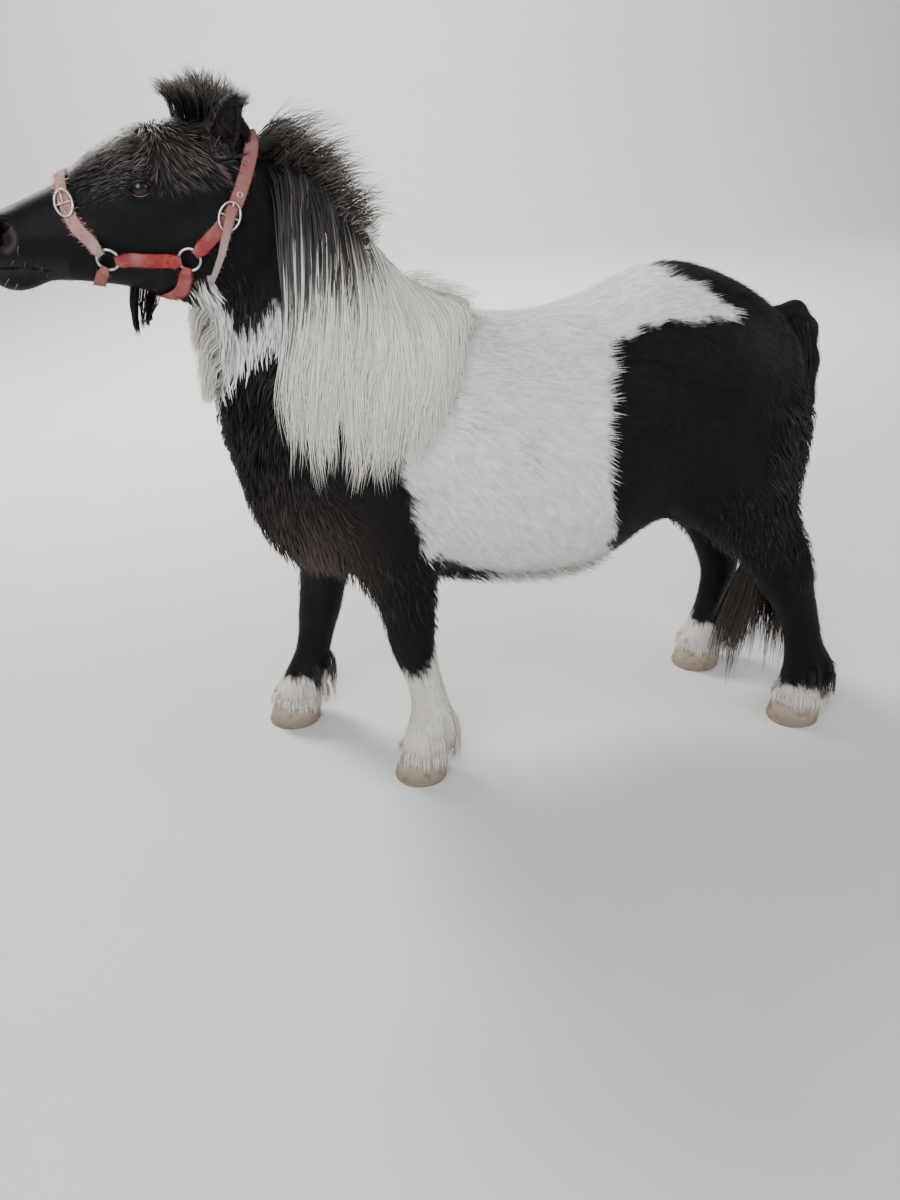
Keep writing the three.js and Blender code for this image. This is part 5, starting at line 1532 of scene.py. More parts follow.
    def ears(self) -> None:
        """Builds the hair that fills the cup of each ear."""
        for index, (side, ear) in enumerate(EARS.items()):
            rng = np.random.default_rng(self.seed + 80 + index)
            count = 30
            at, turn = rng.uniform(0.12, 0.80, count), rng.uniform(-1.25, 1.25, count)
            half = np.interp(at, [row["at"] for row in EAR_ROWS],
                             [row["half"] for row in EAR_ROWS]) * MM * 0.74
            root = ear.outer.o + np.outer(at * ear.length * MM,
                                          ear.ahead) - np.outer(np.cos(turn) * half * 0.25, ear.out)
            root = root + np.outer(np.sin(turn) * half, np.cross(ear.ahead, ear.out))
            root = settle(hide_field, root, np.full(count, -0.0008), 5, 0.008)
            Locks(f"ear_hair_{side.label}", root,
                  bent(0.2, 0, ear.ahead * 0.9 + ear.out * 0.75, ear.out * -0.5),
                  rng.uniform(0.008, 0.017, count), hair_colours(DARK_HAIR, BROWN_HAIR, 0.3), 12, 0.005,
                  0.007, 0.002,
                  0.012, 0.0009, 4, 0.02, self.seed + 90 + index, 0.0, 0.0).dress(*self.dark)

    def whiskers(self) -> None:
        """Builds the whiskers of the lips and chin, a few of them white."""
        rng = np.random.default_rng(self.seed + 100)
        count = 90
        start = np.stack([HEAD.point(a, t, 0.06) for a, t in zip(rng.uniform(0.345, 0.435, count),
                          rng.uniform(1.25, ROUND - 1.25, count))])
        root = settle(hide_field, start, np.full(count, -0.0006), 8)
        root = root[np.min([far_from(root, nostril(side)) for side in Side], axis=0) > 0.027]
        count = len(root)
        away = unit(outward(skin_field, root) + np.array([-0.5, 0.0, -0.35]))
        pale = (rng.random(count) < 0.25)[:, None]
        FIBRES.grow("whiskers", root, away, rng.uniform(0.010, 0.030, count),
                    np.where(pale, WHITE_HAIR * 0.8, DARK_HAIR), *self.dark, Thick=0.011, Bend=0.25,
                    Stray=0.2, Seed=8)

    def build(self) -> None:
        """Builds all the long hair."""
        for part in (self.mane, self.crest, self.forelock, self.beard, self.tail, self.feather, self.ears,
                     self.whiskers):
            part()


class Fibres:
    """One node tree that sets a bent, tapered fibre on every point of a mesh: whiskers, lashes and fray."""

    SOCKETS = {"Thick": ("Float", 0.05), "Bend": ("Float", 0.25), "Stray": ("Float", 0.3),
               "Taper": ("Float", 0.85),
               "Seed": ("Int", 3), "Finish": ("Material", None)}
    RINGS, SIDES = 5, 3

    def __init__(self) -> None:
        """Builds the tree."""
        self.tree = tree = bpy.data.node_groups.new("fibres", "GeometryNodeTree")
        tree.is_modifier = True
        tree.interface.new_socket("Geometry", in_out="INPUT", socket_type="NodeSocketGeometry")
        self.keys = {}
        for name, (kind, value) in self.SOCKETS.items():
            socket = tree.interface.new_socket(name, in_out="INPUT", socket_type="NodeSocket" + kind)
            self.keys[name] = socket.identifier
            if value is not None:
                socket.default_value = value
        tree.interface.new_socket("Geometry", in_out="OUTPUT", socket_type="NodeSocketGeometry")
        given = {socket.name: Socket(tree, socket) for socket in tree.nodes.new("NodeGroupInput").outputs}
        box = {"data_type": "FLOAT_VECTOR"}

        def node(kind: str, values: dict, settings: dict = {}) -> Socket:
            """Adds a geometry node, or one of another kind by its whole name."""
            return add_node(tree, kind if "Node" in kind else "GeometryNode" + kind, settings, values)

        share = node("SplineParameter", {})
        hook = node("ShaderNodeCombineXYZ", {"X": given["Bend"], "Z": 1.0})
        line = node("CurveQuadraticBezier",
                    {"Resolution": self.RINGS - 1, "Start": (0, 0, 0), "Middle": (0, 0, 0.5),
                                             "End": hook})
        hoop = node("CurvePrimitiveCircle", {"Resolution": self.SIDES, "Radius": given["Thick"]})
        fibre = node("CurveToMesh",
                     {"Curve": line, "Profile Curve": hoop, "Scale": 1.0 - share * given["Taper"],
                                     "Fill Caps": True})
        away = node("InputNamedAttribute", {"Name": "away"}, box)
        loose = node("FunctionNodeRandomValue",
                     {"Min": (-1, -1, -1), "Max": (1, 1, 1), "Seed": given["Seed"]}, box)
        astray = node("ShaderNodeVectorMath", {0: loose, "Scale": given["Stray"]}, {"operation": "SCALE"})
        way = node("ShaderNodeVectorMath", {0: away, 1: astray}, {"operation": "ADD"})
        turned = node("FunctionNodeAlignRotationToVector", {"Vector": way}, {"axis": "Z"})
        long = node("InputNamedAttribute", {"Name": "long"}, {"data_type": "FLOAT"})
        points = node("MeshToPoints", {"Mesh": given["Geometry"]})
        made = node("InstanceOnPoints",
                    {"Points": points, "Instance": fibre, "Rotation": turned, "Scale": long})
        made = node("SetShadeSmooth", {"Geometry": node("RealizeInstances", {"Geometry": made})})
        made = node("SetMaterial", {"Geometry": made, "Material": given["Finish"]})
        tree.links.new(made.link, tree.nodes.new("NodeGroupOutput").inputs[0])

    def grow(self, name: str, roots: Array, away: Array, long: Array, colours: Array,
             material: bpy.types.Material,
             finish: Finish, **sizes: float) -> None:
        """Grows a piece of fibres.

        Args:
            name: The piece's name.
            roots: Where each fibre stands.
            away: The way each one points.
            long: How long each one is.
            colours: The colour of each one.
            material: Their material.
            finish: Not used.
            sizes: The tree's inputs, by name.
        """
        mesh = bpy.data.meshes.new(name)
        mesh.from_pydata((roots + SHIFT).tolist(), [], [])
        fill(mesh, "away", "FLOAT_VECTOR", "vector", away)
        fill(mesh, "long", "FLOAT", "value", long)
        fill(mesh, "Coat", "FLOAT_COLOR", "color", np.c_[colours, np.ones(len(colours))])
        piece = new_object(name, mesh)
        modifier = piece.modifiers.new("fibres", "NODES")
        modifier.node_group = self.tree
        for key, value in {"Seed": 3, "Finish": material, **sizes}.items():
            modifier[self.keys[key]] = value
        graph = bpy.context.evaluated_depsgraph_get()
        seen = piece.evaluated_get(graph)
        made = bpy.data.meshes.new_from_object(seen, preserve_all_data_layers=True, depsgraph=graph)
        piece.modifiers.remove(modifier)
        piece.data = made
        bpy.data.meshes.remove(mesh)
        made.materials.pop(index=0)
        each = self.RINGS * self.SIDES
        corner = np.empty(len(made.loops), np.int32)
        made.loops.foreach_get("vertex_index", corner)
        local = np.stack([corner % each // self.SIDES / (self.RINGS - 1), corner % self.SIDES / 2], -1)
        places = place_on_map(roots)[corner // each] + PATCH * local
        made.uv_layers.new(name="OFBake").data.foreach_set("uv", places.astype(np.float32).ravel())
        land(piece)


FIBRES = Fibres()


def loft(rings: Array, closed: bool = True) -> list:
    """Returns the faces of a loft over rings; closed ends are fans whose middles follow the rings' points."""
    count, around = rings.shape[:2]
    i, j = np.meshgrid(np.arange(count - 1), np.arange(around), indexing="ij")
    k = (j + 1) % around
    quads = np.stack([i * around + j, i * around + k, (i + 1) * around + k, (i + 1) * around + j],
                     -1).reshape(-1, 4)
    j, k = j[0], k[0]
    end, base = np.full(around, count * around), (count - 1) * around
    caps = np.concatenate([np.stack([end, k, j], -1), np.stack([end + 1, base + j, base + k], -1)])
    return [quads, caps] if closed else [quads]


def outside(points: Array, faces: list) -> list:
    """Returns a closed loft's faces, turned to point outwards."""
    a, b, c, d = (points[faces[0][:, k]] for k in range(4))
    inner = (np.einsum("ij,ij->i", a, np.cross(b, c)) + np.einsum("ij,ij->i", a, np.cross(c, d))).sum() < 0
    return [face[:, ::-1] for face in faces] if inner else faces


def circle(steps: int) -> tuple:
    """Returns the cosines and sines of even turns, as columns."""
    turn = np.linspace(0, ROUND, steps, endpoint=False)[:, None]
    return np.cos(turn), np.sin(turn)


def with_ends(rings: Array) -> Array:
    """Returns a loft's points with the middles of its two ends behind them."""
    return np.concatenate([rings.reshape(-1, 3), [rings[0].mean(0)], [rings[-1].mean(0)]])


def rod(name: str, node: Optional[str], lines: Sequence[tuple], material: bpy.types.Material, finish: Finish,
        tint: Optional[Array] = None) -> None:
    """Makes round wire along closed or open lines.

    Args:
        name: The piece's name.
        node: The node it replaces.
        lines: For each wire its points, radius and whether it is closed.
        material: Its material.
        finish: The record's slot.
        tint: Its colour, where the material asks for one.
    """
    maker = MeshMaker(name)
    cos, sin = circle(14)
    for line, radius, closed in lines:
        ahead = unit(np.roll(line, -1, 0)
                     - np.roll(line, 1, 0)) if closed else unit(np.gradient(line, axis=0))
        side = line - line.mean(0) if closed else np.tile(np.cross(ahead[0], [0.3, 0.2, 0.93]),
                                                          (len(line), 1))
        side = unit(side - ahead * np.sum(side * ahead, -1, keepdims=True))
        ring = line[:, None] + radius * (side[:, None] * cos + np.cross(ahead, side)[:, None] * sin)
        points = ring.reshape(-1, 3) if closed else with_ends(ring)
        faces = [loft(np.concatenate([ring, ring[:1]]), False)[0] % len(points)] if closed else loft(ring)
        maker.add(points, outside(points, faces), None if tint is None else np.tile(tint, (len(points), 1)))
    piece = maker.make(material, finish)
    if node:
        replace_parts(piece, node)


@dataclass
class Eyes:
    """The two eyes, set under the lids.

    Attributes:
        around: Points round an eyeball.
        upper: The middle and radius of the circle that its upper lid follows.
        lower: The same of the lower lid.
    """

    around: int = 48
    upper: tuple = ((0.0, 0.0085), 0.0196)
    lower: tuple = ((-0.001, -0.0068), 0.0184)

    def build(self) -> None:
        """Makes both eyes."""
        for side in Side:
            self.eye(side)
            self.lids(side)

    def eye(self, side: Side) -> None:
        """Makes one eyeball with its iris and level pupil."""
        looks = unit(np.array([-0.22, side.value * 1.0, 0.02]))
        across = unit(np.cross(np.array([0, 0, 1.0]), looks))
        up = np.cross(looks, across)
        angle = np.linspace(0, math.pi, self.around // 2 + 1)[1:-1, None, None]
        cos, sin = circle(self.around)
        bulge = EYE_RADIUS * (1 + 0.045 * np.exp(-(angle / 0.5) ** 2))
        rings = looks * np.cos(angle) * bulge + (across * cos + up * sin) * np.sin(angle) * bulge
        points = np.concatenate([rings.reshape(-1, 3), [looks * EYE_RADIUS * 1.045], [-looks * EYE_RADIUS]])
        u, v, w = (points @ np.stack([across, up, looks], -1) / EYE_RADIUS).T
        far = np.hypot(u, v)
        iris = ease(0.80, 0.70, far) * ease(0, 0.1, w)
        brown = mix(np.array([0.020, 0.010, 0.006]), np.array([0.010, 0.006, 0.005]),
                    ease(0.35, 0.78, far)[:, None])
        tint = mix(np.array([0.012, 0.008, 0.006]), brown, iris[:, None])
        pupil = ease(1.12, 0.92, np.hypot(u / 0.46, v / 0.27)) * (w > 0)
        tint = mix(tint, np.array([0.002, 0.002, 0.003]), pupil[:, None])
        tint = mix(tint, np.array([0.05, 0.038, 0.034]), 0.6 * ease(0.84, 0.97, far)[:, None])
        maker = MeshMaker("eyeball_" + side.label)
        maker.add(points + eye_centre(side), [np.roll(face[:, ::-1], 1, 1) for face in loft(rings)], tint)
        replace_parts(maker.make(self.wet("eyeball_" + side.label), Finish.EYE), "eye_" + side.label)

    def lids(self, side: Side) -> None:
        """Makes the wet pale edge of the lids and the lashes over it."""
        cos, sin = circle(60)
        way = np.c_[cos, sin]
        centre, reach = eye_centre(side), []
        for middle, radius in (self.upper, self.lower):
            on = way @ np.array(middle)
            reach.append(on + np.sqrt(on ** 2 - np.dot(middle, middle) + radius ** 2))
        edge = way * (np.min(reach, axis=0) + 0.0004)[:, None]
        deep = np.sqrt(np.maximum(0.0208 ** 2 - np.sum(edge ** 2, -1), 1e-6))
        line = centre + np.c_[edge,
                              deep] @ np.array([[0.985, 0, 0.17], [-0.17, 0, 0.985], [0, side.value, 0]])
        rod("lid_edge_" + side.label, None, [(line, 0.0007, True)], self.wet("lid_" + side.label), Finish.EYE,
            np.array([0.11, 0.095, 0.095]))
        rng = np.random.default_rng(60 + side.value)
        above = line[4:28]
        root = mix(above[:-1], above[1:], rng.random((len(above) - 1, 1)))
        root = np.concatenate([root, root + 0.0003])
        away = unit(unit(root - centre) + np.array([-0.15, side.value * 0.5, -0.15]))
        FIBRES.grow("lashes_" + side.label, root, away, rng.uniform(0.006, 0.010, len(root)),
                    np.full((len(root), 3), 0.010), CoatFinish("lash " + side.label).make(), Finish.BLACK,
                    Thick=0.022, Bend=0.3, Stray=0.12)

    @staticmethod
    def wet(name: str) -> bpy.types.Material:
        """Returns a wet, clear-coated eye."""
        look = Look(name)
        streak = look.noise(900.0, 3.0)
        return look.done(look.lit(streak.lerp(0.7, 1.3)), streak.lerp(0.22, 0.28), Specular_IOR_Level=0.2,
                         Coat_Weight=0.45, Coat_Roughness=0.02, IOR=1.38)


@dataclass
class Hooves:
    """The four hooves: a horn wall with growth rings and a sole.

    Attributes:
        coronet: The height at which each leg's section is read.
        around: Points round a hoof.
    """

    coronet: float = 0.048
    around: int = 56

    def build(self) -> None:
        """Makes all four."""
        horn = self.horn()
        for name, mass in LEGS.items():
            self.hoof(name, mass, horn)

    def hoof(self, name: str, mass: Mass, horn: bpy.types.Material) -> None:
        """Makes one hoof in place of its node."""
        sec = mass.section(-self.coronet)
        height = np.array([0.0, 0.0012, 0.003, 0.006, *np.linspace(0.009, 0.046, 16), 0.0478])[:, None]
        knots = (0, 0.003, 0.026, 0.048)
        grow = np.interp(height, knots, (0.005, 0.006, 0.004, 0.0005)) - 0.003 - 0.0012 * (height < 0.001)
        ahead = np.interp(height, knots, (0.009, 0.0085, 0.004, 0.0))
        ridge = 0.00035 * np.sin(height * ROUND / 0.0052) + 0.0003 * np.sin(height * ROUND / 0.0017)
        grow = grow + ridge * (height > 0.004) * (height < 0.045)
        cos, sin = (turn.T for turn in circle(self.around))
        x = sec["mid"] - ahead + cos * (sec["top"] + grow) * (1 - 0.05 * ease(0.3, 1.0, cos))
        y = sec["side"] + sin * (sec["half"] + grow)
        rings = np.stack([x, y, height + 0 * x], -1)
        band = np.concatenate([np.repeat(height, self.around), [0, self.coronet]])[:, None]
        tint = mix(np.array([0.22, 0.17, 0.120]), np.array([0.33, 0.275, 0.21]), ease(0.01, 0.04, band))
        maker = MeshMaker("hoof_wall_" + name)
        maker.add(with_ends(rings), loft(rings),
                  mix(tint, np.array([0.20, 0.15, 0.10]), 0.55 * ease(0.014, 0, band)))
        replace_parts(maker.make(horn, Finish.HORN), "hoof_" + name)

    @staticmethod
    def horn() -> bpy.types.Material:
        """Returns horn with fine upright fibres, bands and grime."""
        look = Look("hoof horn")
        fibre, band = look.noise(900.0, 2.0, (1.0, 1.0, 0.06)), look.noise(260.0, 3.0, (0.12, 0.12, 1.0))
        grime = look.noise(60.0, 5.0)
        lit = look.lit(fibre.lerp(0.8, 1.2) * band.lerp(0.75, 1.25))
        return look.done(look.blend(lit, (0.13, 0.095, 0.06), grime.over(0.60, 0.08) * 0.6),
                         grime.lerp(0.45, 0.7),
                         (fibre + band, 0.0004, 0.6), Specular_IOR_Level=0.45)


@dataclass
class Strap:
    """One run of webbing over the head.

    Attributes:
        name: Its name in the record, after the first word.
        places: Points it passes, in the modelling frame.
        width: Its width.
        rings: Ring centres near it.
        level: Its height over the coat.
        taper: Its end width as a share of its width.
        tones: Its colours from end to end, by name.
        fray: How many worn fibres stand on each 3.5 mm of it.
        thick: Its thickness.
    """

    name: str
    places: Array
    width: float
    rings: Sequence[Array]
    level: float = 0.002
    taper: float = 1.0
    tones: Sequence[str] = ("RED", "RED")
    fray: float = 3.0
    thick: float = 0.0026


TONES = {"RED": (0.36, 0.034, 0.036), "FADED": (0.34, 0.125, 0.112), "PINK": (0.62, 0.34, 0.30),
         "DRAB": (0.40, 0.30, 0.275)}


@dataclass
class HeadCollar:
    """The webbing head collar with its rings and buckles.

    Attributes:
        jaw_ring: Station and turn of the jaw ring.
        nose_ring: Station and turn of the nose ring.
        ring_radius: Radius of a ring.
        ring_wire: Radius of its wire.
        ring_level: Height of a ring over the coat.
    """

    jaw_ring: Sequence[float] = (110, 131)
    nose_ring: Sequence[float] = (246, 122)
    ring_radius: float = 0.0175
    ring_wire: float = 0.0024
    ring_level: float = 0.006

    @staticmethod
    def on_head(pairs: Sequence[Sequence[float]], side: Side, level: float) -> Array:
        """Returns points over the head at stations and turns."""
        start = np.stack([HEAD.point(at * MM, math.radians(turn) * side.value, 0.09) for at, turn in pairs])
        return settle(body_field, start, np.full(len(start), level), 10)

    @staticmethod
    def run(places: Array, step: float) -> Array:
        """Returns even steps along a smooth curve through places."""

        def between(low: int, high: int, first: Array, last: Array) -> Array:
            """Returns the place between two places of the curve, by its knots."""
            return ((t[high] - at) * first + (at - t[low]) * last) / (t[high] - t[low])

        p = np.concatenate([[2 * places[0] - places[1]], places, [2 * places[-1] - places[-2]]])
        fine = []
        for q in (p[i:i + 4] for i in range(len(p) - 3)):
            t = np.concatenate([[0], np.cumsum(far_from(q[1:], q[:-1]) ** 0.5)])
            at = np.linspace(t[1], t[2], 40, endpoint=False)[:, None]
            a, b, c = (between(k, k + 1, q[k], q[k + 1]) for k in range(3))
            fine.append(between(1, 2, between(0, 2, a, b), between(1, 3, b, c)))
        fine = np.concatenate(fine + [places[-1:]])
        along = np.concatenate([[0], np.cumsum(far_from(fine[1:], fine[:-1]))])
        even = np.linspace(0, along[-1], max(4, int(round(along[-1] / step))) + 1)
        return np.stack([np.interp(even, along, column) for column in fine.T], -1)

    def strap(self, strap: Strap) -> None:
        """Makes a strap: a soft-edged, frayed band laid over the head, with its own weave map."""
        run = self.run(strap.places, 0.0035)
        count = len(run)
        out = outward(body_field, run)
        ahead = unit(np.gradient(run, axis=0))
        across = unit(np.cross(out, ahead))
        to_ring = np.min([far_from(run, ring) for ring in strap.rings] + [np.full(count, 9.0)], 0)
        pinch = mix(0.62, 1.0, np.clip((to_ring - 0.015) / 0.012, 0, 1))
        half = strap.width / 2 * mix(1.0, strap.taper, np.linspace(0, 1, count)) * pinch
        over_wire = self.ring_level + self.ring_wire + strap.level - 0.0006
        level = mix(over_wire, strap.level, np.clip((to_ring - 0.024) / 0.012, 0, 1))
        flank = np.linspace(-1, 1, 11)
        faces_of = {1: [], -1: []}
        for f, edge in zip(flank, np.sqrt(np.clip(1 - np.abs(flank) ** 9, 0, 1))):
            corner = run + across * (half * f)[:, None]
            middle = level + 0.0004 * ripple(corner, 0.02, 71) + strap.thick * 0.5
            for face, made in faces_of.items():
                made.append(settle(body_field, corner, middle + face * strap.thick * 0.5 * edge, 3, 0.02))
        top, low = faces_of[1], faces_of[-1]
        ring = np.stack(top[1:-1] + [(top[-1] + low[-1]) / 2] + low[-2:0:-1] + [(top[0] + low[0]) / 2],
                        axis=1)
        points, around = with_ends(ring), ring.shape[1]
        length = np.concatenate([[0], np.cumsum(far_from(run[1:], run[:-1]))])
        cross = np.concatenate([flank[1:-1], [1.0], flank[-2:0:-1], [-1.0]])
        place = np.stack([np.repeat(length[:, None], around, 1), np.outer(half, cross)], -1).reshape(-1, 2)
        place = np.concatenate([place, [[0, 0]], [[length[-1], 0]]])
        faces = outside(points, loft(ring))
        wear = 0.5 + 0.5 * ripple(points, 0.05, 72)
        stops = np.array([TONES[tone] for tone in strap.tones])
        where = place[:, 0] / length[-1] * (len(stops) - 1)
        tint = np.stack([np.interp(where, np.arange(len(stops)), column) for column in stops.T], -1)
        tint = mix(tint, np.array(TONES["DRAB"]), 0.35 * (wear ** 2)[:, None])
        maker = MeshMaker("web_" + strap.name)
        maker.add(points, faces, tint, [place[face] for face in faces])
        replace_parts(maker.make(self.web, Finish.WEB, "Weave"), "halter_" + strap.name)
        rng = np.random.default_rng(count + len(maker.name))
        at = rng.integers(0, count, int(strap.fray * count))
        shaggy = np.array(strap.tones)[np.rint(at / count * (len(strap.tones) - 1)).astype(int)] == "PINK"
        over = np.where(shaggy, rng.integers(0, 11, len(at)), rng.choice([0, 1, 9, 10, 10], len(at)))
        root = np.stack(top, 1)[at, over] + ahead[at] * rng.uniform(-0.0018, 0.0018, (len(at), 1))
        away = unit(across[at] * flank[over][:, None] * 0.9 + out[at] * 0.5
                    + rng.normal(0, 0.3, (len(at), 3)))
        long = np.where(shaggy, 0.0065, 0.0036) * rng.uniform(0.5, 1.3, len(at))
        hue = np.clip(tint[at * around + 3] * rng.uniform(0.8, 1.5, (len(at), 1)), 0, 0.85)
        FIBRES.grow(maker.name + "_fray", root, away, long, hue, self.web, Finish.WEB, Thick=0.06, Bend=0.45,
                    Stray=0.5)

    @staticmethod
    def webbing() -> bpy.types.Material:
        """Returns woven webbing: ribs across, threads along, fuzz and wear."""
        look = Look("woven web")
        along = look.node("SeparateXYZ", {}, {"Vector": look.node("UVMap", {"uv_map": "Weave"}, {})})
        across = Socket(look.tree, along.link.node.outputs[1])
        rib = (along * (ROUND / 0.0021) + (across * (ROUND / 0.0030)).sine() * 1.2).sine()
        weave = rib * 0.5 + (across * (ROUND / 0.0016)).sine() * 0.35 + 0.5
        fuzz, wear = look.noise(1500.0, 3.0), look.noise(70.0, 5.0)
        lit = look.lit(weave.lerp(0.55, 1.15) * fuzz.lerp(0.7, 1.3))
        return look.done(look.blend(lit, (0.40, 0.30, 0.26), wear.over(0.60, 0.12) * 0.2),
                         fuzz.lerp(0.75, 0.95),
                         (weave + fuzz * 0.6, 0.0005, 0.8), Specular_IOR_Level=0.12)

    @staticmethod
    def plated() -> bpy.types.Material:
        """Returns dull nickel-plated steel with scratches and tarnish."""
        look = Look("plated steel")
        scratch, dull = look.noise(700.0, 4.0), look.noise(120.0, 4.0)
        tone = look.blend((0.62, 0.61, 0.57), (0.34, 0.31, 0.26), dull.over(0.55, 0.15) * 0.7)
        return look.done(tone, dull.lerp(0.24, 0.48), (scratch, 0.0002, 0.4), Metallic=1.0)

    def basis(self, at: Sequence[float], to: Sequence[float], level: float, side: Side = Side.NEAR) -> tuple:
        """Returns a place on the head, and the right, up and out ways of a flat piece laid there.

        Args:
            at: Its station and turn.
            to: The station and turn that its up way points to.
            level: Its height over the coat.
            side: The side of the head.

        Returns:
            The place and the three ways.
        """
        centre, goal = self.on_head([at], side, level)[0], self.on_head([to], side, level)[0]
        out = outward(body_field, centre[None])[0]
        up = unit(goal - centre - out * ((goal - centre) @ out))
        return centre, np.cross(up, out), up, out

    def build(self) -> None:
        """Builds straps, rings and buckles."""
        self.web, self.steel = self.webbing(), self.plated()
        rings = {"jaw": [], "nose": []}
        cos, sin = circle(64)
        for side in Side:
            for kind, at, to in (("jaw", self.jaw_ring, (60, 100)), ("nose", self.nose_ring, (280, 60))):
                centre, right, up, _ = self.basis(at, to, self.ring_level, side)
                rings[kind].append(centre)
                line = centre + self.ring_radius * (right * cos + up * sin)
                name = f"{kind}_ring_{side.label}"
                rod(name, "halter_" + name, [(line, self.ring_wire, True)], self.steel, Finish.STEEL)
        pink = ("DRAB", "PINK", "PINK", "PINK", "PINK", "DRAB", "DRAB")
        faded = ("RED", "FADED", "FADED", "FADED", "FADED", "RED")
        for name, pairs, width, kind, tones, fray in (
                ("noseband", [[262, 104], [280, 76], [288, 50], [286, 24], [282, 0]], 21, "nose", pink, 12.0),
                ("chin_strap", [[266, 150], [272, 166], [274, 180]], 20, "nose", ("FADED", "FADED"), 3.0),
                ("throat_strap", [[119, 145], [132, 157], [156, 170], [164, 180]], 22, "jaw", ("RED", "RED"),
                 4.0),
                ("crown_strap", [[80, 118], [39, 97], [17, 80], [-1, 62], [-14, 44], [-22, 22], [-25, 0]], 23,
                 "jaw",
                 faded, 2.5)):
            places = np.concatenate([self.on_head(pairs, Side.NEAR, 0.002),
                                     self.on_head(pairs[-2::-1], Side.OFF, 0.002)])
            self.tied(name, places, width * MM, rings[kind], tones, fray)
        for index, side in enumerate(Side):
            places = self.on_head([[214, 124], [178, 127], [142, 129]], side, 0.002)
            self.tied("cheek_strap_" + side.label, places, 0.024, [rings["nose"][index], rings["jaw"][index]],
                      ("RED", "RED"), 6.0)
        loose = self.on_head([[30, 88], [42, 102], [54, 118], [64, 131], [74, 141], [82, 149]], Side.NEAR,
                             0.012)
        self.strap(Strap("loose_end", loose, 0.017, (), 0.011, 0.5, ("FADED", "DRAB", "DRAB"), 2.0))
        cos, sin = circle(32)
        centre, right, up, _ = self.basis((14, 78), (-1, 62), 0.0052)
        rod("crown_eyelet", None, [(centre + 0.0042 * (right * cos + up * sin), 0.0012, True)], self.steel,
            Finish.STEEL)
        self.buckle("crown_buckle", (39, 97), (4, 60), 0.037, 0.050)
        self.buckle("nose_buckle", (288, 51), (282, 20), 0.033, 0.045)

    def tied(self, name: str, places: Array, width: float, rings: list, tones: Sequence[str],
             fray: float) -> None:
        """Makes a strap that runs over the wire of a ring at both ends and stops 5 mm inside it."""
        first, last = (mix(ring, to, (self.ring_radius - 0.005) / np.linalg.norm(to - ring))
                       for ring, to in zip(rings, (places[0], places[-1])))
        self.strap(Strap(name, np.concatenate([[first], places, [last]]), width, rings, tones=tones,
                         fray=fray))

    def buckle(self, name: str, at: Sequence[float], to: Sequence[float], wide: float, long: float) -> None:
        """Makes an oval buckle with its middle bar and tongue."""
        radius = 0.0021
        centre, right, up, out = self.basis(at, to, 0.0062)
        mid = centre + out * 0.002
        cos, sin = circle(72)
        oval = mid + right * cos * (wide / 2 - radius) + up * sin * (long / 2 - radius)
        bar = mid + right * np.linspace(-1, 1, 9)[:, None] * (wide / 2 - 0.004) - out * 0.0004
        along = np.linspace(0, 1, 12)[:, None]
        tongue = mid + up * along * (long / 2 - 0.0005) + out * (0.0012 + 0.0012 * np.sin(along * math.pi))
        rod(name, "halter_" + name, [(oval, radius, True), (bar, 0.0015, False), (tongue, 0.0013, False)],
            self.steel,
            Finish.STEEL)


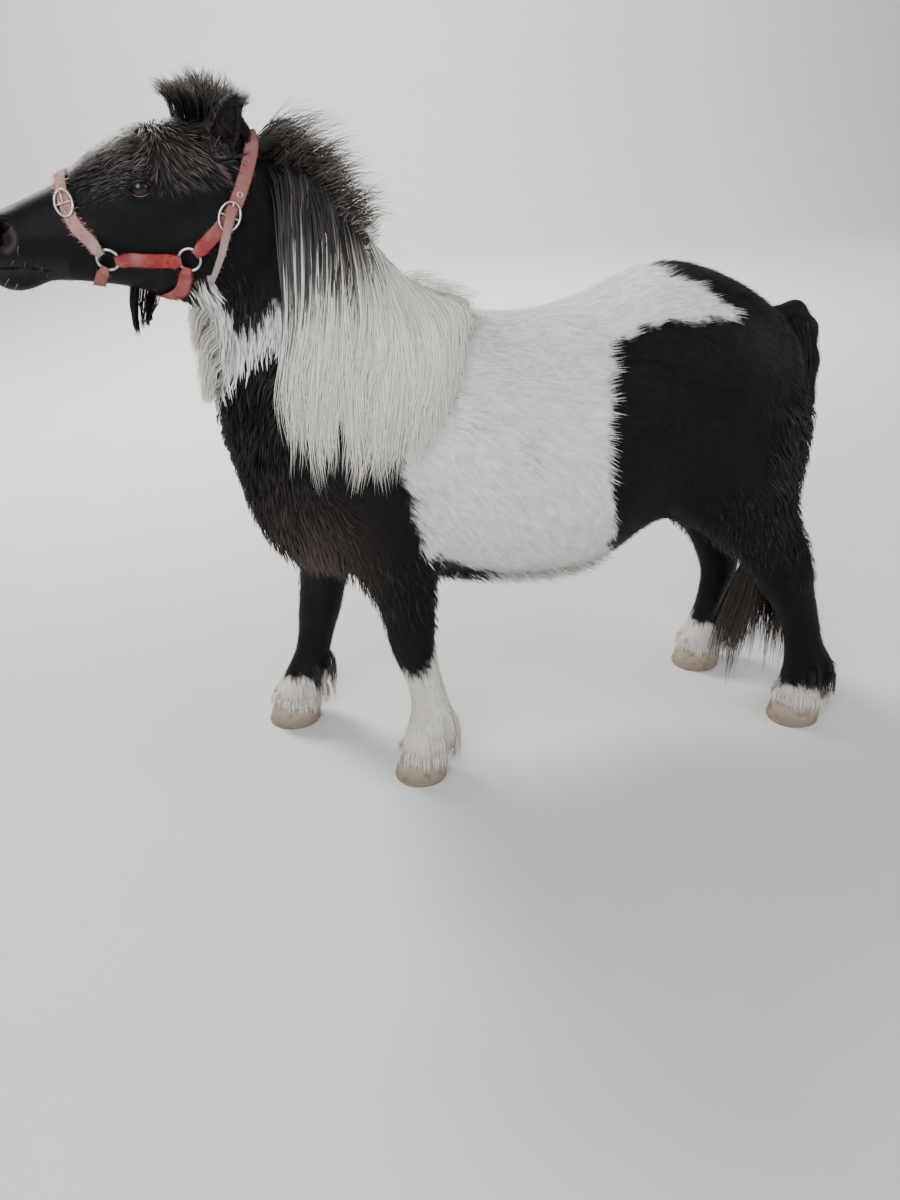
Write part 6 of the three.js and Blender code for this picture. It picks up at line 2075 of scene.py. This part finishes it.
class Studio:
    """Floor, lights and camera."""

    TURN, TILT, ROLL = (math.radians(angle) for angle in (13.68148, 26.34636, 0.74))
    EYE = np.array([-0.37289397, -1.91502437, 1.29782575])
    HALF, SWEEP, TOP = 9.0, 2.5, 9.0

    def floor(self) -> None:
        """Makes a plain pale floor that sweeps up far behind."""
        bend = np.linspace(0, math.pi / 2, 24)
        profile = [(-7.0, 0.0), *zip(7.0 + self.SWEEP * np.sin(bend), self.SWEEP - self.SWEEP * np.cos(bend)),
                   (7.0 + self.SWEEP, self.TOP)]
        points = [(float(x), float(y), float(z)) for y, z in profile for x in (-self.HALF, self.HALF)]
        mesh = bpy.data.meshes.new("studio_floor")
        mesh.from_pydata(points, [], [(i, i + 1, i + 3, i + 2) for i in range(0, len(points) - 2, 2)])
        mesh.polygons.foreach_set("use_smooth", np.ones(len(profile) - 1, bool))
        look = Look("studio floor")
        tone = look.blend((0.62, 0.61, 0.60), (0.66, 0.65, 0.64), look.noise(5.0, 4.0))
        mesh.materials.append(look.done(tone, 0.75, Specular_IOR_Level=0.2))
        new_object("studio_floor", mesh)

    def lights(self) -> None:
        """Sets a soft key behind and above, a broad fill from the camera's side and a pale room."""
        for name, at, to, power, size, tint in (
                ("key", (-1.6, 2.6, 3.4), (0.2, 0.0, 0.6), 230, 1.6, (1.0, 0.97, 0.92)),
                ("fill", (-1.8, -3.4, 2.6), (0.1, 0.0, 0.6), 150, 3.0, (0.95, 0.97, 1.0)),
                ("side", (3.2, -1.6, 2.2), (0.3, 0.0, 0.6), 45, 2.0, (1, 1, 1)),
                ("wall", (1.0, 3.6, 5.0), (1.8, 9.0, 1.2), 700, 3.0, (1, 1, 1))):
            data = bpy.data.lights.new(name, "AREA")
            data.shape, data.size, data.energy, data.color = "DISK", size, power, tint
            lamp = new_object(name, data)
            lamp.location = at
            lamp.visible_camera = False
            lamp.rotation_euler = (Vector(to) - Vector(at)).to_track_quat("-Z", "Y").to_euler()
        world = bpy.data.worlds.new("room")
        world.use_nodes = True
        back = world.node_tree.nodes["Background"].inputs
        back["Color"].default_value, back["Strength"].default_value = (0.93, 0.95, 1.0, 1.0), 0.55
        bpy.context.scene.world = world

    def camera(self) -> None:
        """Puts the camera at the photograph's place."""
        level = np.array([math.sin(self.TURN), math.cos(self.TURN), 0.0])
        forward = level * math.cos(self.TILT) - np.array([0, 0, math.sin(self.TILT)])
        right = np.array([level[1], -level[0], 0.0])
        up = np.cross(right, forward)
        cos, sin = math.cos(self.ROLL), math.sin(self.ROLL)
        columns = np.c_[cos * right - sin * up, sin * right + cos * up, -forward, self.EYE + SHIFT]
        data = bpy.data.cameras.new("photo_camera")
        data.lens, data.sensor_width, data.sensor_fit = 31.5, 36.0, "AUTO"
        camera = new_object("photo_camera", data)
        camera.matrix_world = Matrix([*columns.tolist(), (0, 0, 0, 1)])
        bpy.context.scene.camera = camera

    def build(self) -> None:
        """Builds the stage."""
        self.floor()
        self.lights()
        self.camera()


def main() -> None:
    """Builds the pony piece by piece."""
    Studio().build()
    skin = Skin()
    skin.build()
    skin.dress()
    Coat(skin).dress()
    LongHair().build()
    Eyes().build()
    Hooves().build()
    HeadCollar().build()
    bpy.context.view_layer.update()


if __name__ == "__main__":
    main()
